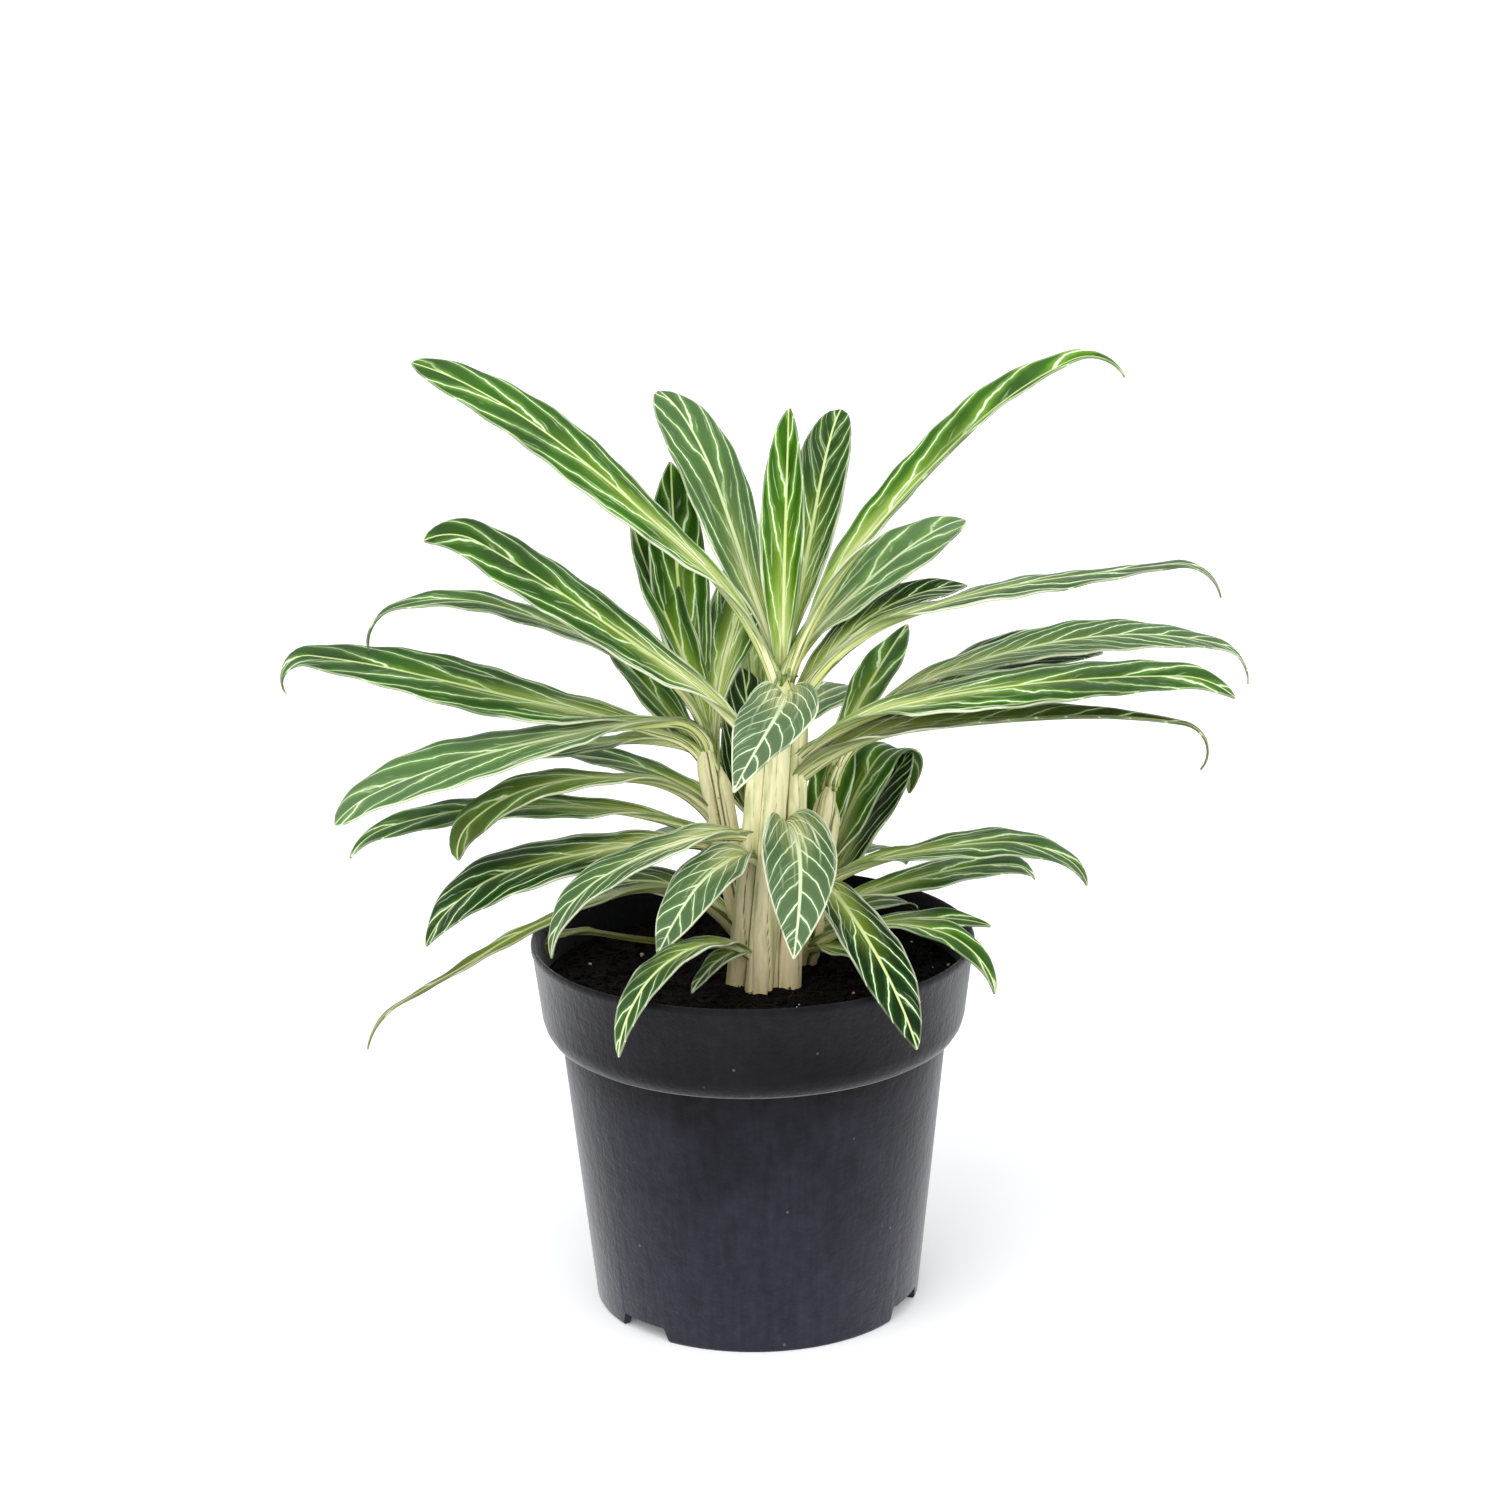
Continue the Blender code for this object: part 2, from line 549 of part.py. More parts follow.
def boxes_meet(one, two):
    """Whether two boxes touch."""
    return bool(np.all(one[0] <= two[1]) and np.all(two[0] <= one[1]))


def finish(obj, kind):
    """Gives an object its material and soft shading with sharp edges kept."""
    plain_triangles(obj)
    obj.data.materials.clear()
    obj.data.materials.append(material(kind))
    obj.data.shade_smooth()
    obj.data.set_sharp_from_angle(angle=radians(35))


def main():
    clear_scene()
    plant = collection("potted_chinese_evergreen")
    cutters = collection("cutters", hidden=True)
    pot = build_pot(plant, cutters)
    finish(pot, "pot")

    section = [p for p in inset(POT_INSIDE, GAP) if p[1] < 108]
    low, high = inset(POT_INSIDE, GAP)[6:8]
    share = (SOIL_EDGE - low[1]) / (high[1] - low[1])
    edge = low[0] + (high[0] - low[0]) * share
    section += [(edge, SOIL_EDGE), (edge - 12, SOIL_TOP), (0, SOIL_TOP)]
    soil = lathe("soil", section, SOIL_STEPS, plant)
    outward(soil)
    holes = [stem("hole", s, cutters, GAP, high=SOIL_TOP + 20) for s in SHOOTS]
    boolean(soil, holes, "DIFFERENCE")
    finish(soil, "soil")

    for shoot in SHOOTS:
        finish(stem("stem_" + shoot, shoot, plant), "stem")

    # Each leaf gives way to the stems and to the leaves made before it.
    standing = [stem("fat_" + s, s, cutters, GAP) for s in SHOOTS]
    for number, (name, own) in enumerate(LEAVES.items()):
        phase = PHASE_STEP * number
        obj = leaf_solid(name, own, phase, plant)
        cuts = [other for other in standing if boxes_meet(box_of(obj), box_of(other))]
        boolean(obj, cuts, "DIFFERENCE", keep=True)
        biggest_shell(obj)
        finish(obj, "leaf")
        standing.append(leaf_solid("fat_" + name, own, phase, cutters, GAP))
    remove(standing)


main()
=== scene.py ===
# %% [markdown]
# A variegated Chinese evergreen in a nursery pot.
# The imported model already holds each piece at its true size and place. This lesson swaps
# those plain solids for finer meshes of the same form and gives each one its real finish:
# waxy striped leaves, pale leaf stalks, damp peat and moulded black plastic.

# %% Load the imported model
import json
from math import cos, pi, radians, sin, tau

import bmesh
import bpy
import numpy as np
from mathutils import Matrix, Vector, noise

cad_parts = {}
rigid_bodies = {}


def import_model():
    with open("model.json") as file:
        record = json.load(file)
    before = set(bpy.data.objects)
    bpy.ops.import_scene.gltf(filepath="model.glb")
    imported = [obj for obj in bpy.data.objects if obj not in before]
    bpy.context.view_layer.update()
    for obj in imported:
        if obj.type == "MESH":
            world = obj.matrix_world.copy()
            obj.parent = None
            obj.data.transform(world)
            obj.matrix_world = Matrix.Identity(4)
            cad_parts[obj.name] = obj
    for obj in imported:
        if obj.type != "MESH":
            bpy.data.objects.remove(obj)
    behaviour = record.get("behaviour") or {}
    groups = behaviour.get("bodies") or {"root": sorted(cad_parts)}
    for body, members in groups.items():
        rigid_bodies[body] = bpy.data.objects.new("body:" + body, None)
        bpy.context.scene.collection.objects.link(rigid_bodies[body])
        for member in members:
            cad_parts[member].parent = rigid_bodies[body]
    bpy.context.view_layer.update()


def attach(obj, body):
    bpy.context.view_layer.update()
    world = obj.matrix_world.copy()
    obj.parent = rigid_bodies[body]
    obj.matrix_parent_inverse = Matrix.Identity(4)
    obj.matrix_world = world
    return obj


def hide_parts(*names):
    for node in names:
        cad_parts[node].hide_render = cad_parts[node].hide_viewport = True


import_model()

# %% [markdown]
# Sizes are easier to think about in millimetres, the unit a grower or toolmaker would use.
# Blender works in metres, so one constant turns the one into the other where a mesh is
# made. Every random draw comes from one seeded generator, so each run gives the same plant.

# %% Units and small helpers
MM = 0.001
chance = np.random.default_rng(27)


def linear(code):
    """An sRGB hex colour as the linear RGBA that Blender's shaders expect."""
    parts = [int(code[i:i + 2], 16) / 255 for i in (1, 3, 5)]
    bent = [c / 12.92 if c <= 0.04045 else ((c + 0.055) / 1.055) ** 2.4 for c in parts]
    return (*bent, 1.0)


def placed_in_scene(name, data):
    """A new object that shows this mesh, light or camera in the scene."""
    made = bpy.data.objects.new(name, data)
    bpy.context.scene.collection.objects.link(made)
    return made


def mesh_of(name, points, faces):
    """A mesh from points in millimetres."""
    mesh = bpy.data.meshes.new(name)
    mesh.from_pydata((np.asarray(points, float) * MM).tolist(), [], faces)
    return mesh


def piece(name, points, faces, node=None, slot=None):
    """A smooth-shaded mesh object from points in millimetres, riding on the plant."""
    made = placed_in_scene(name, mesh_of(name, points, faces))
    made.data.shade_smooth()
    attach(made, "root")
    if node:
        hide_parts(node)
    return made


def tube_faces(rings, turns, flipped=False):
    """The quads between rings of points and a face over each end."""
    quads = []
    for i in range(rings - 1):
        for j in range(turns):
            k = (j + 1) % turns
            a, b = i * turns, (i + 1) * turns
            quad = (a + j, b + j, b + k, a + k) if flipped else (a + j, a + k, b + k, b + j)
            quads.append(quad)
    first = tuple(range(turns))
    last = tuple((rings - 1) * turns + j for j in first)
    return quads + ([first, last[::-1]] if flipped else [first[::-1], last])


# %% [markdown]
# Each material is a small network of shader nodes. Written out by hand, the plumbing would
# bury the look, so one function adds a node and another feeds its inputs.

# %% Materials and their nodes
# Settings that many nodes share. Inputs 0 to 4 of MapRange are the value, the range it comes
# from and the range it goes to. Inputs 6 and 7 of Mix are its two colours.
SMOOTH = {"interpolation_type": "SMOOTHSTEP"}
COLOURED = {"data_type": "RGBA"}
OVERLAID = {"data_type": "RGBA", "blend_type": "OVERLAY"}
TIMES = {"operation": "MULTIPLY"}
TIMES_PLUS = {"operation": "MULTIPLY_ADD"}


def feed(node, inputs):
    """Gives a node's inputs their values, or links other nodes' outputs to them."""
    for key, value in inputs.items():
        if isinstance(value, bpy.types.NodeSocket):
            node.id_data.links.new(value, node.inputs[key])
        else:
            node.inputs[key].default_value = value


def add(tree, kind, settings=None, links=None, out=0):
    """Adds one shader node with its settings and inputs, and returns one of its outputs."""
    node = tree.nodes.new("ShaderNode" + kind)
    for key, value in (settings or {}).items():
        setattr(node, key, value)
    feed(node, links or {})
    return node.outputs[out]


def layered(tree, colour, *layers):
    """A colour with others laid over it in turn, each given by its share and its colour."""
    for share, over in layers:
        over = linear(over) if isinstance(over, str) else over
        colour = add(tree, "Mix", COLOURED, {0: share, 6: colour, 7: over}, out=2)
    return colour


def new_material(name, inputs):
    """A new material and its main shader, with some of the shader's inputs set."""
    made = bpy.data.materials.new(name)
    made.use_nodes = True
    shader = made.node_tree.nodes["Principled BSDF"]
    feed(shader, inputs)
    return made, shader


# %% [markdown]
# The photograph was taken from a little above the leaves with a long lens, so the pot's
# rim shows as a narrow ellipse and its sides hardly taper from perspective. The camera
# turns by under a degree, because the plant stands a touch askew in the picture.

# %% Camera
# Lengths in mm, and places in the photograph in its own pixels.
TILT = radians(15.76)
ROLL = radians(-0.86)
DISTANCE = 1200.0
AIM_HEIGHT = 190.8
SENSOR_WIDTH = 36.0
FRAME_PIXELS = 1512
FOCAL_PIXELS = 3600
LEFTWARD_PIXELS = 6.1

lens = bpy.data.cameras.new("camera")
lens.sensor_width = SENSOR_WIDTH
lens.lens = SENSOR_WIDTH * FOCAL_PIXELS / FRAME_PIXELS
lens.shift_x = LEFTWARD_PIXELS / FRAME_PIXELS
lens.clip_end = 100
camera = placed_in_scene("camera", lens)
stand = Vector((0, -DISTANCE * cos(TILT), AIM_HEIGHT + DISTANCE * sin(TILT))) * MM
turned = Matrix.Rotation(pi / 2 - TILT, 4, "X") @ Matrix.Rotation(ROLL, 4, "Z")
camera.matrix_world = Matrix.Translation(stand) @ turned
bpy.context.scene.camera = camera
print("Lens in mm:", round(lens.lens, 1))

# %% [markdown]
# Shop photographs of plants are lit almost without shadow. A pale sky dome gives the even
# part of that light. A broad soft sun from the upper left models the leaves and lights the
# pot's left edge, a weaker one keeps the right side from going dead, and a low one from the
# front reaches under the leaves. Suns light the floor evenly to the horizon, which a panel
# near the plant would not. The floor is white paper with a faint glow of its own, as on a
# light table, so the plant's shadow stays pale.

# %% Studio light and floor
SKY = 1.0
# Where each sun stands, its strength, and how wide it looks in degrees.
SUNS = {
    "key_sun": ((-0.55, -0.75, 1.25), 1.1, 44),
    "fill_sun": ((0.9, -0.7, 0.7), 0.45, 60),
    "front_sun": ((0.05, -1.0, 0.28), 0.4, 50),
}

world = bpy.data.worlds.new("sky")
world.use_nodes = True
feed(world.node_tree.nodes["Background"], {"Color": linear("#fbfcff"), "Strength": SKY})
bpy.context.scene.world = world
bpy.context.scene.view_settings.view_transform = "Standard"

for name, (place, strength, wide) in SUNS.items():
    sun = bpy.data.lights.new(name, "SUN")
    sun.energy = strength
    sun.angle = radians(wide)
    lamp = placed_in_scene(name, sun)
    lamp.rotation_euler = Vector(place).to_track_quat("Z", "Y").to_euler()

paper = new_material("backlit_white_paper", {
    "Emission Color": linear("#ffffff"), "Emission Strength": 0.1,
    "Base Color": linear("#fafafa"), "Roughness": 0.9})[0]
FLOOR_HALF = 20000
corners = [(x * FLOOR_HALF, y * FLOOR_HALF, 0) for x, y in ((-1, -1), (1, -1), (1, 1), (-1, 1))]
floor = placed_in_scene("floor", mesh_of("floor", corners, [(0, 1, 2, 3)]))
floor.data.materials.append(paper)
print("Suns:", ", ".join(SUNS))

# %% [markdown]
# A nursery pot is injection moulded from recycled black polypropylene. One way to make it
# is to stack cylinders, but a real mould is turned on a lathe, so its section is drawn once
# and spun here too: floor, flared wall, shoulder, collar and a thin rolled lip. The four
# foot notches and drain holes are then cut out, and a small bevel rounds what the mould
# would have rounded.

# %% Sections of the pot and of what is cut from it
# Radius and height in mm, up the inside from the floor, over the lip and down the outside.
POT_SECTION = (
    (0, 5.8), (52.6, 5.8), (54.4, 7.6), (63.8, 92.6), (65.0, 94.9), (68.3, 97.5), (70.2, 101.9),
    (73.2, 125.0), (73.7, 127.6), (74.3, 128.0), (74.8, 127.8), (75.0, 127.2), (75.0, 125.8),
    (74.5, 125.2), (71.7, 102.2), (70.7, 98.8), (68.9, 96.0), (66.4, 94.5), (65.4, 94.2),
    (65.3, 93.6), (55.6, 1.0), (55.0, 0.0), (52.9, 0.0), (52.5, 4.0), (15.3, 4.0), (14.8, 0.0),
    (0, 0.0))
POT_STEPS = 176
NOTCH_TURNS = (-134.0, -25.4, 46.0, 154.6)
# Corners of the block that cuts one notch, and the section that cuts one drain hole.
WEDGE = [(48.5, -10.1, -1), (48.5, 10.1, -1), (48.5, -8.1, 5), (48.5, 8.1, 5),
         (60, -12.5, -1), (60, 12.5, -1), (60, -10, 5), (60, 10, 5)]
WEDGE_FACES = [(0, 1, 3, 2), (4, 6, 7, 5), (0, 2, 6, 4), (1, 5, 7, 3), (2, 3, 7, 6), (0, 4, 5, 1)]
DRAIN_SECTION = ((0, 1.0), (4.0, 1.0), (4.0, 9.0), (0, 9.0))
DRAIN_STEPS = 32
DRAIN_OUT = 43.5
MOULD_RADIUS = 0.35
SHARP_EDGE = radians(40)


def spun(section, steps):
    """Points and faces of a closed section of (radius, height) spun round the Z axis."""
    points = []
    rings = []
    for radius, height in section:
        count = 1 if radius == 0 else steps
        ring = []
        for i in range(count):
            ring.append(len(points))
            points.append((radius * cos(tau * i / steps), radius * sin(tau * i / steps), height))
        rings.append(ring if count > 1 else ring * steps)
    faces = []
    for low, high in zip(rings, rings[1:]):
        for i in range(steps):
            j = (i + 1) % steps
            corners = dict.fromkeys((low[i], low[j], high[j], high[i]))
            if len(corners) > 2:
                faces.append(tuple(corners))
    return points, faces


def face_outwards(obj):
    """Turns the faces of a closed object so that they all look outwards."""
    bm = bmesh.new()
    bm.from_mesh(obj.data)
    bmesh.ops.recalc_face_normals(bm, faces=bm.faces)
    bm.to_mesh(obj.data)
    bm.free()


def cutter(points, faces):
    """A closed object for cutting, in millimetres."""
    made = placed_in_scene("cutter", mesh_of("cutter", points, faces))
    face_outwards(made)
    return made


def settled(obj):
    """Keeps what an object's modifiers make of its mesh."""
    seen = obj.evaluated_get(bpy.context.evaluated_depsgraph_get())
    made = bpy.data.meshes.new_from_object(seen)
    obj.modifiers.clear()
    obj.data = made


# %% Spin the pot and cut its foot
pot = piece("pot_moulded", *spun(POT_SECTION, POT_STEPS), node="pot", slot="pot")
face_outwards(pot)
cuts = bpy.data.collections.new("cuts")
for turn in NOTCH_TURNS:
    c, s = cos(radians(turn)), sin(radians(turn))
    notch = cutter([(x * c - y * s, x * s + y * c, z) for x, y, z in WEDGE], WEDGE_FACES)
    hole = cutter(*spun(DRAIN_SECTION, DRAIN_STEPS))
    hole.location = Vector((DRAIN_OUT * c, DRAIN_OUT * s, 0)) * MM
    cuts.objects.link(notch)
    cuts.objects.link(hole)

cut = pot.modifiers.new("foot", "BOOLEAN")
cut.operation = "DIFFERENCE"
cut.operand_type = "COLLECTION"
cut.collection = cuts
cut.solver = "EXACT"
bevel = pot.modifiers.new("mould_radius", "BEVEL")
bevel.width = MOULD_RADIUS * MM
bevel.segments = 2
bevel.angle_limit = SHARP_EDGE
bpy.context.view_layer.update()
settled(pot)
for obj in list(cuts.objects):
    bpy.data.objects.remove(obj)
pot.data.shade_smooth()
pot.data.set_sharp_from_angle(angle=SHARP_EDGE)
print("Pot faces:", len(pot.data.polygons))

# %% [markdown]
# Moulded black polypropylene isn't black to the eye. It is a dark blue grey that picks up
# the pale room, with a soft satin shine. Close up it shows faint upright flow lines from
# the mould, a fine orange-peel grain, and dust where wet hands and peat have touched it.

# %% Moulded black polypropylene
# The sheen is fine dust, which brightens the wall where it turns away at the sides.
plastic, shader = new_material("moulded_black_polypropylene", {
    "IOR": 1.49, "Specular IOR Level": 0.10, "Sheen Weight": 0.42, "Sheen Roughness": 0.36})
tree = plastic.node_tree
place = add(tree, "TexCoord", out=3)
# Flow lines stand about 2 mm apart and run up the wall, so the noise is squeezed upright.
upright = add(tree, "Mapping", links={0: place, "Scale": (1, 1, 0.04)})
flow = add(tree, "TexNoise", links={0: upright, "Scale": 420, "Detail": 3, "Roughness": 0.6})
cloud = add(tree, "TexNoise", links={0: place, "Scale": 34, "Detail": 5, "Roughness": 0.65})
grain = add(tree, "TexNoise", links={0: place, "Scale": 800, "Detail": 3})
# Orange-peel dimples about 4 mm across come from the mould.
peel = add(tree, "TexNoise", links={0: place, "Scale": 240, "Detail": 2, "Roughness": 0.6})
tone = add(tree, "ValToRGB", links={0: cloud})
for stop, at, code in zip(tone.node.color_ramp.elements, (0.38, 0.64), ("#050509", "#1f1f28")):
    stop.position = at
    stop.color = linear(code)
# The lower wall is painted a little paler, as painted light bounced up from the white floor.
level = add(tree, "SeparateXYZ", links={0: place}, out=2)
painted_floor_bounce = add(tree, "MapRange", links={0: level, 1: 0.015, 2: 0.10, 3: 0.8, 4: 0})
# The collar is painted darker as painted shade, which makes it the darkest part.
painted_collar_shade = add(tree, "MapRange", links={0: level, 1: 0.080, 2: 0.100, 3: 0, 4: 0.6})
tone = layered(tree, tone, (painted_floor_bounce, "#2a2a37"), (painted_collar_shade, "#040406"))
lined = add(tree, "Mix", OVERLAID, {0: 0.5, 6: tone, 7: flow}, out=2)
lined = add(tree, "Mix", OVERLAID, {0: 0.5, 6: lined, 7: peel}, out=2)

# %% Dust and specks on the pot
# Specks of lime and peat dust, about 1 mm across, in patches a few centimetres wide.
cells = add(tree, "TexVoronoi", links={0: place, "Scale": 120, "Randomness": 1.0})
speck = add(tree, "MapRange", links={0: cells, 1: 0.05, 2: 0.075, 3: 1, 4: 0})
rare = add(tree, "TexNoise", links={0: place, "Scale": 37, "Detail": 1})
chosen = add(tree, "MapRange", links={0: rare, 1: 0.58, 2: 0.62, 3: 0, 4: 0.55})
dusting = add(tree, "Math", TIMES, {0: speck, 1: chosen})
dusty = add(tree, "Mix", COLOURED, {0: dusting, 6: lined, 7: linear("#6c6c6c")}, out=2)
sheen = add(tree, "MapRange", links={0: cloud, 1: 0.3, 2: 0.75, 3: 0.45, 4: 0.62})
bumps = add(tree, "Mix", {"data_type": "FLOAT"}, {0: 0.5, 2: flow, 3: grain})
bumps = add(tree, "Mix", {"data_type": "FLOAT"}, {0: 0.5, 2: bumps, 3: peel})
relief = add(tree, "Bump", links={"Strength": 0.9, "Distance": 0.5 * MM, "Height": bumps})
feed(shader, {"Base Color": dusty, "Roughness": sheen, "Normal": relief})
pot.data.materials.clear()
pot.data.materials.append(plastic)
print("Pot material:", len(tree.nodes), "nodes")

# %% [markdown]
# Each shoot of this plant is a bundle of leaf stalks whose sheaths wrap one another, so
# the cane looks fluted. Joining tubes with Booleans would leave hard creases. Here the
# fluted outline is worked out directly: at each height and turn the surface stands where
# the outermost of the core and its ribs stands, and a rib sinks away below its own top.
# Finer flutes are then pressed in, each with a line of painted shade along its bottom.

# %% Shoots
SOIL_TOP = 114.0
STEM_DEPTH = 12.0
RIB_TWIST = 18.0
RIB_STAGGER = (0.0, 9.0, 4.0, 13.0, 6.0)
# Foot (x, y) at the soil, top (x, y, z), then core, ring and rib radii, low and high.
SHOOTS = {
    "centre": {"foot": (4, -7), "top": (11.7, 4, 222), "core": (8.6, 5.4), "ring": (8.6, 5.0),
               "rib": (4.7, 3.8), "turns": (255, 330, 45, 115, 185)},
    "left": {"foot": (-1, 16.5), "top": (-15, 16, 195), "core": (2.8, 3.6), "ring": (2.4, 3.4),
             "rib": (2.3, 2.7), "turns": (200, 320, 80)},
    "right": {"foot": (17, 12), "top": (28, 14, 182), "core": (3.2, 2.8), "ring": (2.8, 2.8),
              "rib": (2.8, 2.5), "turns": (240, 0, 120)},
    "back": {"foot": (4, 30), "top": (2, 33, 188), "core": (3.4, 2.8), "ring": (3.0, 3.0),
             "rib": (2.9, 2.6), "turns": (90, 210, 330)},
}


def axis_point(shoot, z):
    """The point of a shoot's axis at a height."""
    (x0, y0), (x1, y1, z1) = SHOOTS[shoot]["foot"], SHOOTS[shoot]["top"]
    share = (z - SOIL_TOP) / (z1 - SOIL_TOP)
    return np.array([x0 + (x1 - x0) * share, y0 + (y1 - y0) * share, z])


def reach(turn, centre_turn, ring, radius):
    """How far a ray from the axis goes to the far side of a rib, or 0 where it misses."""
    apart = turn - centre_turn
    inside = radius ** 2 - (ring * np.sin(apart)) ** 2
    hit = ring * np.cos(apart) + np.sqrt(np.clip(inside, 0, None))
    return np.where((inside > 0) & (np.cos(apart) > 0), hit, 0)


# %% Fluted canes
STEM_TURNS = 200
STEM_HEIGHTS = 64
RIB_FADE = 9.0
FLUTES = {"centre": 13, "left": 7, "right": 7, "back": 7}
FLUTE_DEPTH = 0.8
DOME = 16.0


def set_attribute(mesh, name, values, kind="FLOAT"):
    """Stores one number, or one vector, for each vertex of a mesh."""
    field = "vector" if kind == "FLOAT_VECTOR" else "value"
    made = mesh.attributes.new(name, kind, "POINT")
    made.data.foreach_set(field, np.asarray(values, np.float32).ravel())


def cane(shoot):
    """One fluted cane, with how much painted shade each point gets in its slits and flute creases.
    """
    own = SHOOTS[shoot]
    turns = np.linspace(0, tau, STEM_TURNS, endpoint=False)
    top = own["top"][2]
    heights = np.linspace(SOIL_TOP - STEM_DEPTH, top, STEM_HEIGHTS)
    points = []
    furrow_shade = []
    for z in heights:
        share = min(max((z - SOIL_TOP) / (top - SOIL_TOP), 0), 1)
        core, ring, rib = (own[key][0] + (own[key][1] - own[key][0]) * share
                           for key in ("core", "ring", "rib"))
        shells = [np.full(STEM_TURNS, core)]
        for i, turn in enumerate(own["turns"]):
            left = min(1, max(0, (top - RIB_STAGGER[i] - z) / RIB_FADE))
            where = radians(turn + RIB_TWIST * share)
            far = reach(turns, where, ring * left ** 0.5, rib * (0.4 + 0.6 * left))
            shells.append(far if left > 0 else np.zeros(STEM_TURNS))
        ranked = np.sort(np.array(shells), axis=0)
        radius = ranked[-1]
        # A slit gets painted shade only where it lies below the ribs on both sides of it.
        around = np.max([np.roll(radius, step) for step in range(-8, 9)], axis=0)
        sunk = np.clip((around - radius) / 0.7, 0, 1)
        slit_shade = np.clip(1 - (ranked[-1] - ranked[-2]) / 0.9, 0, 1) * sunk
        # Flutes wander sideways as they climb, and fade out in the last 25 mm.
        wander = 0.5 * sin(z / 17) + 0.3 * sin(z / 7)
        valley = np.abs(np.sin((turns + radians(RIB_TWIST) * share) * FLUTES[shoot] / 2 + wander))
        rising = np.clip((top - z) / 25, 0, 1)
        radius = radius - FLUTE_DEPTH * np.clip(1 - valley / 0.45, 0, 1) * rising
        # The bottom of each flute gets a line of painted shade.
        crease_shade = np.clip(1 - valley / 0.13, 0, 1) * rising
        furrow_shade.append(np.maximum(slit_shade, crease_shade * (0.3 + 0.7 * np.sin(turns * 3 + z / 45) ** 2)))
        radius = radius * (1 - np.clip(1 - (top - z) / DOME, 0, 0.92) ** 2)
        middle = axis_point(shoot, z)
        points.append(np.stack([middle[0] + radius * np.cos(turns),
                                middle[1] + radius * np.sin(turns),
                                np.full(STEM_TURNS, z)], 1))
    faces = tube_faces(STEM_HEIGHTS, STEM_TURNS)
    made = piece("cane_" + shoot, np.concatenate(points), faces, "stem_" + shoot, "stems")
    set_attribute(made.data, "furrow_shade", np.concatenate(furrow_shade))
    return made


canes = {shoot: cane(shoot) for shoot in SHOOTS}
print("Canes:", {name: len(obj.data.vertices) for name, obj in canes.items()})

# %% [markdown]
# The sheathed stalks are cream to pale yellow-green, tanned near the soil where the oldest
# sheaths have dried. Fine lengthwise fibres run up them, and the slits where one sheath
# laps over the next and the bottoms of the flutes are painted dark olive as painted shade.

# %% Sheathed stalk
# Plant cell walls full of water bend light a little more than water does.
stalk, shader = new_material("sheathed_leaf_stalk", {
    "IOR": 1.43, "Specular IOR Level": 0.2, "Coat Weight": 0.12, "Coat Roughness": 0.3})
tree = stalk.node_tree
place = add(tree, "TexCoord", out=3)
height = add(tree, "SeparateXYZ", links={0: place}, out=2)
# The tint runs from just under the soil's top, 112 mm up, to the centre cane's top at 222 mm.
climb = add(tree, "MapRange", links={0: height, 1: 0.112, 2: 0.222})
tint = add(tree, "ValToRGB", links={0: climb})
stops = tint.node.color_ramp
stops.elements[0].color = linear("#e6d3a2")
stops.elements[1].color = linear("#8fa452")
for at, code in ((0.12, "#f8e8bc"), (0.45, "#f6ecc2"), (0.75, "#ebe8b8"), (0.92, "#dcdfa4")):
    stops.elements.new(at).color = linear(code)

# Fibres are about 1 mm wide and some 20 times longer up the stalk than across it.
lengthwise = add(tree, "Mapping", links={0: place, "Scale": (1, 1, 0.045)})
fibre = add(tree, "TexNoise", links={0: lengthwise, "Scale": 900, "Detail": 4, "Roughness": 0.65})
fibred = add(tree, "MapRange", links={0: fibre, 1: 0.4, 2: 0.72, 3: 0, 4: 0.5})
broad = add(tree, "TexNoise", links={0: lengthwise, "Scale": 240, "Detail": 2})
greened = add(tree, "MapRange", links={0: broad, 1: 0.52, 2: 0.66, 3: 0, 4: 0.55})
# Painted shade darkens the slits between sheaths and the bottoms of the flutes.
slit_shade = add(tree, "Attribute", {"attribute_name": "furrow_shade"}, out=2)
slit_shade_mix = add(tree, "MapRange", links={0: slit_shade, 1: 0.2, 2: 0.7, 3: 0, 4: 0.88})
lapped = layered(tree, tint, (fibred, "#c4bd84"), (greened, "#94a84e"), (slit_shade_mix, "#52501f"))
rough = add(tree, "MapRange", links={0: fibre, 1: 0.3, 2: 0.7, 3: 0.38, 4: 0.55})
ridged = add(tree, "Bump", links={"Strength": 0.5, "Distance": 0.25 * MM, "Height": fibre})
feed(shader, {"Base Color": lapped, "Roughness": rough, "Normal": ridged})
for obj in canes.values():
    obj.data.materials.append(stalk)

# %% [markdown]
# A leaf of this plant is a lance-shaped blade on a channelled stalk. A flat card with an
# alpha cut-out would be quick but has no edge and no relief, so each blade is a closed skin
# with real thickness. Its midrib is given by how far it leans at six shares of its length.

# %% How a leaf bends
LEAN_SHARES = (0, 0.12, 0.35, 0.65, 0.88, 1.0)
MIDRIB_STEPS = 240
# Lengths and half widths are in mm, folds and curls in degrees.
FOOT_OUT = 2.0
STALK_FOOT = {"centre": 6.6, "left": 4.4, "right": 4.4, "back": 4.4}
STALK_NECK = 2.6
STALK_FOLD = 60.0
TIP_HALF_WIDTH = 0.35
STALK_THICK = 2.4
MIDRIB_THICK = 1.5
EDGE_THICK = 0.7
BLADE_CURL = 7.0
WAVE_HEIGHT = 0.7
WAVE_COUNT = 1.6
PHASE_STEP = 1.7


def leaf(shoot, height, turn, length, leans, width, neck=0.13, fold=5, roll=(0, 0), tip=0.85,
         rise=1.3, slim=1.0, veer=0):
    """One leaf's own values: where it starts, which way it goes, how it bends, its blade."""
    return {"shoot": shoot, "height": height, "turn": turn, "length": length, "leans": leans,
            "width": width, "neck": neck, "fold": fold, "roll": roll, "tip": tip,
            "rise": rise, "slim": slim, "veer": veer}


